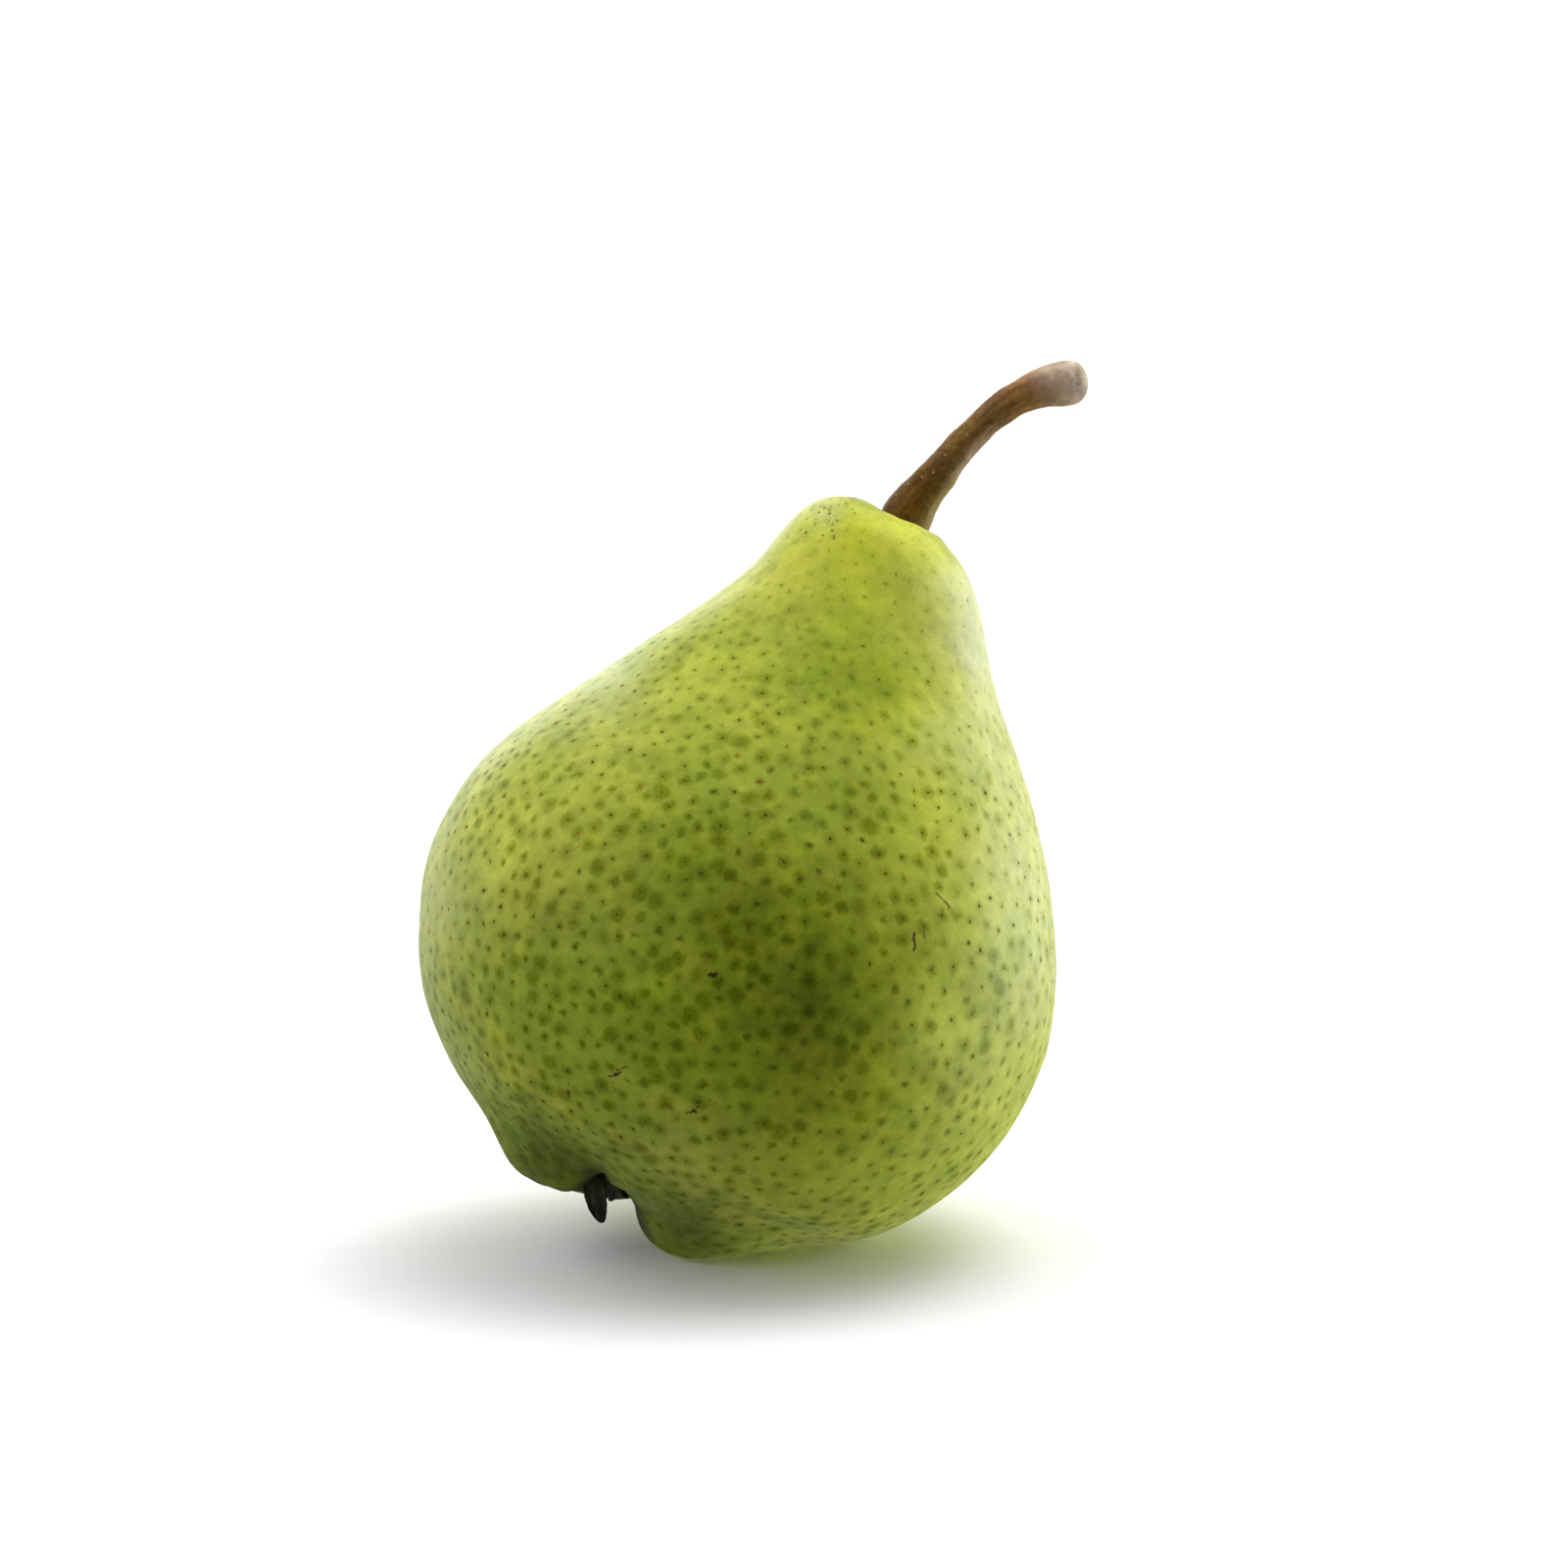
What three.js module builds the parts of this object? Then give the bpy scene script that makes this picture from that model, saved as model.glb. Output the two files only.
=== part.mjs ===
import * as THREE from 'three';
import { mergeVertices } from 'three/addons/utils/BufferGeometryUtils.js';

// A green pear resting on the side of its base, with its stalk and dried calyx.
// Millimetres, +Z up. The origin is the middle of the flat spot it rests on.
//
// The fruit has an axis of its own, from the calyx up to the stalk. Points in
// it are (u, v, w): w runs up the axis from the calyx, u to the right and v
// away, and all of it is then leaned over and set down.

// ---------- driving dimensions ----------
const LEAN_RIGHT_DEG = 24.29;            // the axis leans to +X
const LEAN_BACK_DEG = 13;                // and the leaning plane tips back to +Y
const CALYX_AT = [-17.5, -6.95, 7.27];   // where the calyx centre ends up
const FRUIT_SEGMENTS = 64;
const FRUIT_ROWS_PER_STATION = 2;
const STALK_SEGMENTS = 16;
const STALK_ROWS = 24;
const SEPAL_SEGMENTS = 10;
const SEPAL_ROWS = 10;

// Rings from the calyx basin, over the rim, up the belly and neck, and down
// into the stalk's socket: left (u, w), right (u, w), half depth.
const STATIONS = [
  [0.00, 3.46, 0.00, 3.46, 0.00],
  [-1.61, 3.23, 1.61, 3.23, 1.61],
  [-3.11, 1.96, 3.46, 1.84, 3.23],
  [-4.72, 0.69, 5.18, 0.46, 4.95],
  [-6.91, -0.12, 7.60, -0.46, 7.26],
  [-9.68, 0.00, 11.40, -0.69, 10.60],
  [-12.56, 0.92, 15.44, 0.12, 14.05],
  [-15.55, 2.30, 19.70, 1.50, 17.63],
  [-19.01, 4.15, 24.54, 4.03, 21.66],
  [-23.04, 6.91, 29.38, 6.91, 26.04],
  [-27.88, 11.52, 33.98, 11.52, 30.53],
  [-32.03, 18.43, 38.13, 18.43, 34.56],
  [-34.56, 26.27, 40.55, 26.27, 36.98],
  [-34.91, 32.26, 41.01, 32.95, 37.44],
  [-34.10, 38.59, 40.44, 38.36, 36.75],
  [-31.68, 44.93, 38.36, 44.70, 34.56],
  [-27.88, 51.38, 34.91, 51.38, 30.87],
  [-24.08, 57.60, 30.76, 57.72, 26.96],
  [-20.16, 63.82, 25.80, 63.71, 22.58],
  [-16.70, 69.93, 20.16, 69.81, 18.20],
  [-14.28, 75.11, 16.01, 75.11, 14.98],
  [-12.79, 79.83, 12.79, 79.83, 12.67],
  [-10.60, 84.10, 8.87, 83.98, 9.91],
  [-7.37, 86.05, 5.64, 85.88, 6.45],
  [-5.18, 86.40, 4.38, 86.46, 4.72],
  [-3.92, 85.71, 3.80, 85.94, 3.80],
  [-3.57, 84.56, 3.57, 84.67, 3.57],
  [-2.19, 83.64, 2.19, 83.64, 2.19],
  [0.00, 83.52, 0.00, 83.52, 0.00],
];

// Swellings and dents pushed out of the plain form along its surface normal:
// station, angle round the axis (0 right, 90 back, 180 left, -90 front),
// spread in stations, spread in degrees, height.
const SWELLINGS = [
  [4.93, -21.5, 2.22, 17.8, 2.80],  // base lobe, right front
  [4.91, 188, 1.64, 36.8, 1.95],    // base lobe, left
  [4.96, 39.3, 1.53, 19.6, 1.64],   // base lobe, right back
  [4.89, 122, 1.47, 30.3, 1.43],    // base lobe, left back
  [4.47, -89.7, 2.06, 29.3, -2.04], // saddle in the rim, front
  [4.84, 71.2, 1.41, 9.1, -1.21],   // saddle in the rim, back
  [2.93, -21.5, 0.81, 51.4, -0.35], // steep inner wall of the right front lobe
  [7.6, 188, 0.9, 48, -0.25],       // creases above the lobes
  [8.2, -34, 0.9, 38, -0.76],
  [8.2, 100, 0.9, 40, -0.46],
  [8.5, 26, 1.35, 30, 0.65],        // the fuller side that it rests on
  [7.8, 172, 1.0, 26, 0.23],        // full cheek above the left lobe
  [3.87, 159, 1.09, 20, 1.28],      // rim filled in between the two left lobes
  [4.27, 239, 1.11, 27.6, 1.77],    // rim of the left lobe, drawn out to the front
  [4.24, 258.7, 1.72, 7.8, -1.72],  // furrow between the front lobes
  [4.8, -45.8, 1.39, 7.5, 0.80],    // steep shoulder of the right front lobe
  [3.49, 59, 1.07, 17.1, -0.78],    // inner wall at the right back
  [7.0, -104, 1.6, 11, -0.81],      // valley running up from the basin
  [7.6, -72, 1.8, 12, 0.46],        // fold beside the valley
  [10.0, -50, 1.6, 22, 0.35],       // slow unevenness of the belly
  [10.2, -125, 1.6, 26, 0.35],
  [13, 215, 3.5, 40, 0.35],
  [12, -60, 3.5, 45, 0.35],
  [13, -115, 3.0, 24, -0.35],
  [13, 60, 3.5, 45, 0.46],
  [14, 128, 3.5, 35, -0.35],
  [17.5, -60, 2.0, 35, 0.35],       // shoulders
  [18.0, -125, 2.0, 30, -0.29],
  [18, 80, 2.5, 40, 0.35],
  [20.3, -84, 0.8, 34, -0.58],      // dent in the front of the neck
  [21.8, -80, 0.8, 50, 0.23],       // lip above the dent
  [22.6, 178, 0.9, 38, 0.17],       // knob on the left of the top
  [22.4, 60, 0.9, 45, 0.23],
  [19.4, 200, 1.2, 30, -0.35],
];

// Stalk: centreline (u, v, w) and radius, from its seat in the socket to the
// knob at its end.
const STALK = [
  [0.00, 0.00, 84.05, 2.60],
  [0.00, 0.00, 86.40, 3.02],
  [0.45, 0.05, 89.60, 2.62],
  [1.22, 0.12, 92.60, 2.24],
  [2.25, 0.20, 96.60, 1.93],
  [3.45, 0.28, 100.00, 1.80],
  [5.11, 0.28, 103.51, 1.93],
  [7.57, 0.18, 106.55, 2.22],
  [10.20, 0.00, 108.71, 2.68],
  [10.82, -0.05, 109.08, 2.70],
];
const STALK_END_CAP = 2.35;    // how far the knob rounds past the last centre
const STALK_FOOT_EDGE = 0.35;  // rounding at the seat

// Sepals: width, centreline (u, v, w) from root to tip, and the direction of
// the width. The first is long and leans across the mouth of the basin.
const SEPAL_THICKNESS = 0.52;
const SEPALS = [
  ['sepal_1', 3.0, [[-1.62, -1.22, 1.95], [-1.35, -1.75, 0.90], [-0.45, -2.20, -0.90], [1.55, -2.55, -3.40]], [0.81, 0, 0.59]],
  ['sepal_2', 2.4, [[1.62, -0.42, 2.10], [1.98, -0.47, 1.58], [2.42, -0.54, 1.00], [2.98, -0.64, 0.36]], [0.72, 0.69, 0]],
  ['sepal_3', 2.3, [[1.12, 1.43, 2.25], [1.22, 1.62, 1.30], [1.22, 1.70, 0.30], [1.16, 1.66, -0.85]], [0.77, -0.64, 0]],
  ['sepal_4', 2.1, [[-0.78, 1.66, 2.15], [-0.90, 1.95, 1.40], [-0.95, 2.05, 0.60], [-1.00, 2.15, -0.40]], [0.91, 0.42, 0]],
  ['sepal_5', 2.1, [[-1.80, 0.20, 2.15], [-2.10, 0.20, 1.60], [-2.20, 0.20, 1.00], [-2.35, 0.20, 0.10]], [0, 1, 0]],
];

// Dried flower remains on the floor of the basin.
const DISC_RADIUS = 1.02;
const DISC_W = [1.15, 2.95];

// ---------- helpers ----------
// Natural cubic spline through (x, y).
function spline(x, y) {
  const n = x.length;
  const m = new Array(n).fill(0);
  const c = new Array(n).fill(0);
  const d = new Array(n).fill(0);
  for (let i = 1; i < n - 1; i++) {
    const h0 = x[i] - x[i - 1];
    const h1 = x[i + 1] - x[i];
    const rhs = 6 * ((y[i + 1] - y[i]) / h1 - (y[i] - y[i - 1]) / h0);
    const k = 2 * (h0 + h1) - h0 * c[i - 1];
    c[i] = h1 / k;
    d[i] = (rhs - h0 * d[i - 1]) / k;
  }
  for (let i = n - 2; i > 0; i--) m[i] = d[i] - c[i] * m[i + 1];
  return (t) => {
    const s = Math.min(Math.max(t, x[0]), x[n - 1]);
    let i = 0;
    while (i < n - 2 && s > x[i + 1]) i++;
    const h = x[i + 1] - x[i];
    const a = x[i + 1] - s;
    const b = s - x[i];
    return (m[i] * a ** 3 + m[i + 1] * b ** 3) / (6 * h)
      + (y[i] / h - (m[i] * h) / 6) * a + (y[i + 1] / h - (m[i + 1] * h) / 6) * b;
  };
}

// A sphere whose vertices are moved: place(s, angle) gives the point for s from
// 0 at the bottom pole to 1 at the top pole, with the angle counter-clockwise
// seen from above. rows lists s for each row, from the top down.
function shaped(segments, rows, place) {
  const g = new THREE.SphereGeometry(1, segments, rows.length - 1);
  const p = g.attributes.position;
  for (let i = 0; i < p.count; i++) {
    const row = Math.floor(i / (segments + 1));
    const column = (i % (segments + 1)) % segments;
    const at = place(rows[row], (column / segments) * 2 * Math.PI);
    p.setXYZ(i, at.x, at.y, at.z);
  }
  g.deleteAttribute('normal');
  g.deleteAttribute('uv');
  const merged = mergeVertices(g, 1e-4);
  merged.computeVertexNormals();
  return merged;
}

const even = (n) => Array.from({ length: n + 1 }, (_, i) => 1 - i / n);

// ---------- where the fruit's axis points ----------
const lean = THREE.MathUtils.degToRad(LEAN_RIGHT_DEG);
const back = THREE.MathUtils.degToRad(LEAN_BACK_DEG);
const upright = new THREE.Vector3(0, Math.sin(back), Math.cos(back));
const U = new THREE.Vector3(Math.cos(lean), 0, 0).addScaledVector(upright, -Math.sin(lean));
const W = new THREE.Vector3(Math.sin(lean), 0, 0).addScaledVector(upright, Math.cos(lean));
const V = new THREE.Vector3(0, Math.cos(back), -Math.sin(back));
const setDown = new THREE.Matrix4().makeBasis(U, V, W).setPosition(...CALYX_AT);

// ---------- fruit ----------
const last = STATIONS.length - 1;
const knots = [0];
for (let i = 1; i <= last; i++) {
  const [a, b] = [STATIONS[i - 1], STATIONS[i]];
  const step = (Math.hypot(b[0] - a[0], b[1] - a[1]) + Math.hypot(b[2] - a[2], b[3] - a[3])) / 2;
  knots.push(knots[i - 1] + Math.sqrt(step));
}
const ring = [0, 1, 2, 3, 4].map((j) => spline(knots, STATIONS.map((s) => s[j])));

function plainForm(station, angle) {
  const i = Math.min(Math.floor(station), last - 1);
  const t = knots[i] + (station - i) * (knots[i + 1] - knots[i]);
  const [uL, wL, uR, wR, depth] = ring.map((f) => f(t));
  const c = Math.cos(angle);
  return new THREE.Vector3((uL + uR) / 2 + ((uR - uL) / 2) * c, depth * Math.sin(angle), (wL + wR) / 2 + ((wR - wL) / 2) * c);
}

function swelling(station, angle) {
  const degrees = THREE.MathUtils.radToDeg(angle);
  let h = 0;
  for (const [s0, a0, ds, da, height] of SWELLINGS) {
    const turn = ((degrees - a0 + 180) % 360 + 360) % 360 - 180;
    h += height * Math.exp(-(((station - s0) / ds) ** 2) - (turn / da) ** 2);
  }
  const edge = Math.min(Math.max(Math.min(station, last - station), 0), 1);
  return h * edge * edge * (3 - 2 * edge);
}

function fruitPoint(station, angle) {
  const at = plainForm(station, angle);
  const s = Math.min(Math.max(station, 0.06), last - 0.06);
  const along = plainForm(s + 0.02, angle).sub(plainForm(s - 0.02, angle));
  const around = plainForm(s, angle + 0.01).sub(plainForm(s, angle - 0.01));
  const out = around.cross(along).normalize();
  at.addScaledVector(out, swelling(station, angle));
  at.applyMatrix4(setDown);
  if (at.z < 0) at.z = 0;               // the flat spot it rests on
  return at;
}

// Two rows a station over the rim, belly and neck, one a station in the small
// rings of the basin and the socket.
const fruitRows = [];
for (let k = last * FRUIT_ROWS_PER_STATION; k >= 0; k--) {
  const station = k / FRUIT_ROWS_PER_STATION;
  const whole = Number.isInteger(station);
  if (whole || (station > 3 && station < 22.6)) fruitRows.push(station);
}
const fruitGeometry = shaped(FRUIT_SEGMENTS, fruitRows, (s, angle) => fruitPoint(s, angle));

// ---------- round and leaf-like bodies along a curve ----------
// The centreline is a spline through points; section(s) gives half width along
// `across` and half thickness, and cup bends the section's sides inward.
function sweptPlace(path, side, section, cup) {
  const k = [0];
  for (let i = 1; i < path.length; i++) k.push(k[i - 1] + path[i].distanceTo(path[i - 1]));
  const f = ['x', 'y', 'z'].map((c) => spline(k, path.map((p) => p[c])));
  const total = k[k.length - 1];
  const at = (t) => new THREE.Vector3(f[0](t), f[1](t), f[2](t));
  return (s, angle) => {
    const t = s * total;
    const e = total * 1e-3;
    const tangent = at(Math.min(t + e, total)).sub(at(Math.max(t - e, 0))).normalize();
    const n = side.clone().addScaledVector(tangent, -side.dot(tangent)).normalize();
    const b = new THREE.Vector3().crossVectors(tangent, n);
    const [a, c] = section(s);
    const x = a * Math.cos(angle);
    const y = c * Math.sin(angle) + cup * (x * x);
    return at(t).addScaledVector(n, x).addScaledVector(b, y).applyMatrix4(setDown);
  };
}

// Stalk: the last centre is carried on by the rounding of the knob.
const stalkPath = STALK.map(([u, v, w]) => new THREE.Vector3(u, v, w));
const n = stalkPath.length;
const endWay = stalkPath[n - 1].clone().sub(stalkPath[n - 2]).normalize();
stalkPath.push(stalkPath[n - 1].clone().addScaledVector(endWay, STALK_END_CAP));
const stalkLengths = [0];
for (let i = 1; i <= n; i++) stalkLengths.push(stalkLengths[i - 1] + stalkPath[i].distanceTo(stalkPath[i - 1]));
const stalkTotal = stalkLengths[n];
const stalkBody = stalkLengths[n - 1];
const stalkRadius = spline(stalkLengths.slice(0, n), STALK.map((r) => r[3]));
function stalkSection(s) {
  const t = s * stalkTotal;
  let r = stalkRadius(Math.min(t, stalkBody));
  if (t > stalkBody) r *= Math.sqrt(Math.max(0, 1 - ((t - stalkBody) / STALK_END_CAP) ** 2));
  if (t < STALK_FOOT_EDGE) r *= 0.86 + 0.14 * (t / STALK_FOOT_EDGE);
  return s <= 0 || s >= 1 ? [0, 0] : [r * 1.0, r * 0.94];
}
const stalkRows = [1, 0.9955, 0.985];
for (let i = 0; i <= STALK_ROWS - 5; i++) stalkRows.push(0.965 - (0.965 - 0.0125) * (i / (STALK_ROWS - 5)));
stalkRows.push(0.00001, 0);
const stalkGeometry = shaped(STALK_SEGMENTS, stalkRows, sweptPlace(stalkPath, new THREE.Vector3(0, 1, 0), stalkSection, 0));

// Sepal: a pointed leaf that stands on the floor of the basin, cupped round
// the flower remains, with its tip turned outwards.
function sepalGeometry(width, line, across) {
  const path = line.map(([u, v, w]) => new THREE.Vector3(u, v, w));
  const side = new THREE.Vector3(...across).normalize();
  const section = (s) => {
    if (s <= 0 || s >= 1) return [0, 0];
    const wide = Math.min(1, 0.42 + 1.7 * s) * Math.sqrt(Math.max(0, 1 - s ** 2.2));
    return [(width / 2) * Math.min(1, wide), (SEPAL_THICKNESS / 2) * Math.sqrt(Math.max(0, 1 - s ** 4))];
  };
  const rows = even(SEPAL_ROWS);
  rows[0] = 1;
  rows[1] = 0.955;
  rows[SEPAL_ROWS - 1] = 0.0005;
  return shaped(SEPAL_SEGMENTS, rows, sweptPlace(path, side, section, 0.1));
}

const discGeometry = shaped(12, [1, 0.9, 0.65, 0.3, 0.02, 0], (s, angle) => {
  const r = s <= 0 || s >= 1 ? 0 : DISC_RADIUS * Math.sqrt(1 - (1 - s) ** 3) * (1 - 0.18 * s) * (s < 0.1 ? 0.72 : 1);
  return new THREE.Vector3(r * Math.cos(angle), r * Math.sin(angle), DISC_W[0] + s * (DISC_W[1] - DISC_W[0])).applyMatrix4(setDown);
});

// ---------- the pear ----------
function piece(name, geometry, color, roughness) {
  const mesh = new THREE.Mesh(geometry, new THREE.MeshStandardMaterial({ color, roughness, metalness: 0 }));
  mesh.name = name;
  return mesh;
}

const pear = new THREE.Group();
pear.add(piece('fruit_body', fruitGeometry, 0x93a13a, 0.42));
pear.add(piece('stem', stalkGeometry, 0x6b4a2a, 0.7));
const calyx = new THREE.Group();
calyx.add(piece('calyx_disc', discGeometry, 0x2e2415, 0.9));
for (const [name, ...dims] of SEPALS) calyx.add(piece(name, sepalGeometry(...dims), 0x2b2817, 0.8));
pear.add(calyx);

export default pear;
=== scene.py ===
import math

import bpy
import numpy as np
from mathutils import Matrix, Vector, kdtree, noise


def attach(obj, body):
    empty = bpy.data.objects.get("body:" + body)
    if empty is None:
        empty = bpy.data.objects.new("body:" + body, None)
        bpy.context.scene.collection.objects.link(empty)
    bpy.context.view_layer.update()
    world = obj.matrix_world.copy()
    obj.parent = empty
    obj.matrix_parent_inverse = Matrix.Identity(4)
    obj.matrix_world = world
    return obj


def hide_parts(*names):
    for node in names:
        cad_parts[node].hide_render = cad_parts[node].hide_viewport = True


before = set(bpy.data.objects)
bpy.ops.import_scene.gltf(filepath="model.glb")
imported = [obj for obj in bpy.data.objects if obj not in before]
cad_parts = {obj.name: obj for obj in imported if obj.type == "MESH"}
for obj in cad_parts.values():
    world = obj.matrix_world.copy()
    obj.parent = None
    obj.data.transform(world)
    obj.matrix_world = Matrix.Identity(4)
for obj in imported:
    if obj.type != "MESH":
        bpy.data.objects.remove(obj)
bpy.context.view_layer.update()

MM = 0.001
rng = np.random.default_rng(7)

# ------------------------------------------------------------------
# The pear's own axis, and how it leans (the same numbers as the CAD)
# ------------------------------------------------------------------
LEAN = math.radians(24.29)
BACK = math.radians(13)
CALYX = np.array([-17.5, -6.95, 7.27])
UPR = np.array([0, math.sin(BACK), math.cos(BACK)])
AX_U = np.array([math.cos(LEAN), 0, 0]) - UPR * math.sin(LEAN)
AX_W = np.array([math.sin(LEAN), 0, 0]) + UPR * math.cos(LEAN)
AX_V = np.array([0, math.cos(BACK), -math.sin(BACK)])
BASIS = np.stack([AX_U, AX_V, AX_W])  # rows


def set_down(p):
    """(u, v, w) in mm to world mm."""
    return p @ BASIS + CALYX


def to_axis(p):
    return (p - CALYX) @ BASIS.T


STATIONS = np.array([
    [0.00, 3.46, 0.00, 3.46, 0.00],
    [-1.61, 3.23, 1.61, 3.23, 1.61],
    [-3.11, 1.96, 3.46, 1.84, 3.23],
    [-4.72, 0.69, 5.18, 0.46, 4.95],
    [-6.91, -0.12, 7.60, -0.46, 7.26],
    [-9.68, 0.00, 11.40, -0.69, 10.60],
    [-12.56, 0.92, 15.44, 0.12, 14.05],
    [-15.55, 2.30, 19.70, 1.50, 17.63],
    [-19.01, 4.15, 24.54, 4.03, 21.66],
    [-23.04, 6.91, 29.38, 6.91, 26.04],
    [-27.88, 11.52, 33.98, 11.52, 30.53],
    [-32.03, 18.43, 38.13, 18.43, 34.56],
    [-34.56, 26.27, 40.55, 26.27, 36.98],
    [-34.91, 32.26, 41.01, 32.95, 37.44],
    [-34.10, 38.59, 40.44, 38.36, 36.75],
    [-31.68, 44.93, 38.36, 44.70, 34.56],
    [-27.88, 51.38, 34.91, 51.38, 30.87],
    [-24.08, 57.60, 30.76, 57.72, 26.96],
    [-20.16, 63.82, 25.80, 63.71, 22.58],
    [-16.70, 69.93, 20.16, 69.81, 18.20],
    [-14.28, 75.11, 16.01, 75.11, 14.98],
    [-12.79, 79.83, 12.79, 79.83, 12.67],
    [-10.60, 84.10, 8.87, 83.98, 9.91],
    [-7.37, 86.05, 5.64, 85.88, 6.45],
    [-5.18, 86.40, 4.38, 86.46, 4.72],
    [-3.55, 85.55, 3.45, 85.80, 3.45],
    [-3.02, 84.60, 3.02, 84.70, 3.00],
    [-2.19, 83.80, 2.19, 83.80, 2.19],
    [0.00, 83.70, 0.00, 83.70, 0.00],
])

SWELLINGS = [
    [4.93, -21.5, 2.22, 17.8, 2.80],
    [4.91, 188, 1.64, 36.8, 1.95],
    [4.96, 39.3, 1.53, 19.6, 1.64],
    [4.89, 122, 1.47, 30.3, 1.43],
    [4.47, -89.7, 2.06, 29.3, -2.04],
    [4.84, 71.2, 1.41, 9.1, -1.21],
    [2.93, -21.5, 0.81, 51.4, -0.35],
    [7.6, 188, 0.9, 48, -0.25],
    [8.2, -34, 0.9, 38, -0.76],
    [8.2, 100, 0.9, 40, -0.46],
    [8.5, 26, 1.35, 30, 0.65],
    [7.8, 172, 1.0, 26, 0.23],
    [3.87, 159, 1.09, 20, 1.28],
    [4.27, 239, 1.11, 27.6, 1.77],
    [4.24, 258.7, 1.72, 7.8, -1.72],
    [4.8, -45.8, 1.39, 7.5, 0.80],
    [3.49, 59, 1.07, 17.1, -0.78],
    [7.0, -104, 1.6, 11, -0.81],
    [7.6, -72, 1.8, 12, 0.46],
    [10.0, -50, 1.6, 22, 0.35],
    [10.2, -125, 1.6, 26, 0.35],
    [13, 215, 3.5, 40, 0.35],
    [12, -60, 3.5, 45, 0.35],
    [13, -115, 3.0, 24, -0.35],
    [13, 60, 3.5, 45, 0.46],
    [14, 128, 3.5, 35, -0.35],
    [17.5, -60, 2.0, 35, 0.35],
    [18.0, -125, 2.0, 30, -0.29],
    [18, 80, 2.5, 40, 0.35],
    [20.3, -84, 0.8, 34, -0.58],
    [21.8, -80, 0.8, 50, 0.23],
    [22.6, 178, 0.9, 38, 0.17],
    [22.4, 60, 0.9, 45, 0.23],
    [19.4, 200, 1.2, 30, -0.35],
]


def spline(x, y):
    x = np.asarray(x, float)
    y = np.asarray(y, float)
    n = len(x)
    h = np.diff(x)
    a = np.zeros((n, n))
    r = np.zeros(n)
    a[0, 0] = a[-1, -1] = 1
    for i in range(1, n - 1):
        a[i, i - 1] = h[i - 1]
        a[i, i] = 2 * (h[i - 1] + h[i])
        a[i, i + 1] = h[i]
        r[i] = 6 * ((y[i + 1] - y[i]) / h[i] - (y[i] - y[i - 1]) / h[i - 1])
    m = np.linalg.solve(a, r)

    def f(t):
        t = np.clip(t, x[0], x[-1])
        i = np.clip(np.searchsorted(x, t, side="right") - 1, 0, n - 2)
        p, q, hh = x[i + 1] - t, t - x[i], h[i]
        return ((m[i] * p**3 + m[i + 1] * q**3) / (6 * hh)
                + (y[i] / hh - m[i] * hh / 6) * p + (y[i + 1] / hh - m[i + 1] * hh / 6) * q)

    return f


LAST = len(STATIONS) - 1
_steps = (np.hypot(np.diff(STATIONS[:, 0]), np.diff(STATIONS[:, 1]))
          + np.hypot(np.diff(STATIONS[:, 2]), np.diff(STATIONS[:, 3]))) / 2
KNOTS = np.concatenate([[0], np.cumsum(np.sqrt(_steps))])
RING = [spline(KNOTS, STATIONS[:, j]) for j in range(5)]


def plain_form(st, ang):
    t = np.interp(st, np.arange(LAST + 1), KNOTS)
    uL, wL, uR, wR, depth = [f(t) for f in RING]
    c = np.cos(ang)
    return np.stack([(uL + uR) / 2 + (uR - uL) / 2 * c, depth * np.sin(ang), (wL + wR) / 2 + (wR - wL) / 2 * c], -1)


def form_normal(st, ang):
    s = np.clip(st, 0.06, LAST - 0.06)
    along = plain_form(s + 0.02, ang) - plain_form(s - 0.02, ang)
    around = plain_form(s, ang + 0.01) - plain_form(s, ang - 0.01)
    n = np.cross(around, along)
    return n / (np.linalg.norm(n, axis=-1, keepdims=True) + 1e-12)


def turn(ang, a0):
    return (np.degrees(ang) - a0 + 180) % 360 - 180


def swelling(st, ang):
    h = np.zeros(np.broadcast(st, ang).shape)
    for s0, a0, ds, da, height in SWELLINGS:
        h = h + height * np.exp(-(((st - s0) / ds) ** 2) - (turn(ang, a0) / da) ** 2)
    e = np.clip(np.minimum(st, LAST - st), 0, 1)
    return h * e * e * (3 - 2 * e)


def smoothstep(a, b, x):
    t = np.clip((x - a) / (b - a), 0, 1)
    return t * t * (3 - 2 * t)


def perlin(p, scale, seed):
    """Smooth noise, about -1..1, at points p (mm), with features about `scale` mm."""
    q = p / scale + np.array([seed * 17.3, seed * 7.7, seed * 3.1])
    return np.array([noise.noise(Vector(v)) for v in q.reshape(-1, 3)]).reshape(p.shape[:-1])


# ------------------------------------------------------------------
# Mesh helpers
# ------------------------------------------------------------------
def make_object(name, verts_mm, faces, smooth=True):
    me = bpy.data.meshes.new(name)
    me.from_pydata((np.asarray(verts_mm) * MM).tolist(), [], faces)
    me.validate()
    me.update()
    if smooth:
        me.polygons.foreach_set("use_smooth", [True] * len(me.polygons))
    o = bpy.data.objects.new(name, me)
    bpy.context.scene.collection.objects.link(o)
    return o


def grid_faces(rows, cols):
    """Faces of a closed body: pole 0, rows of rings, pole 1. Rows run from the bottom up, columns counter-clockwise."""
    f = []
    ring = lambda r, c: 1 + r * cols + c % cols
    top = 1 + rows * cols
    for c in range(cols):
        f.append((0, ring(0, c + 1), ring(0, c)))
    for r in range(rows - 1):
        for c in range(cols):
            f.append((ring(r, c), ring(r, c + 1), ring(r + 1, c + 1), ring(r + 1, c)))
    for c in range(cols):
        f.append((top, ring(rows - 1, c), ring(rows - 1, c + 1)))
    return f


def add_float(o, name, values):
    a = o.data.attributes.new(name, "FLOAT", "POINT")
    a.data.foreach_set("value", np.asarray(values, np.float32).ravel())


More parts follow.
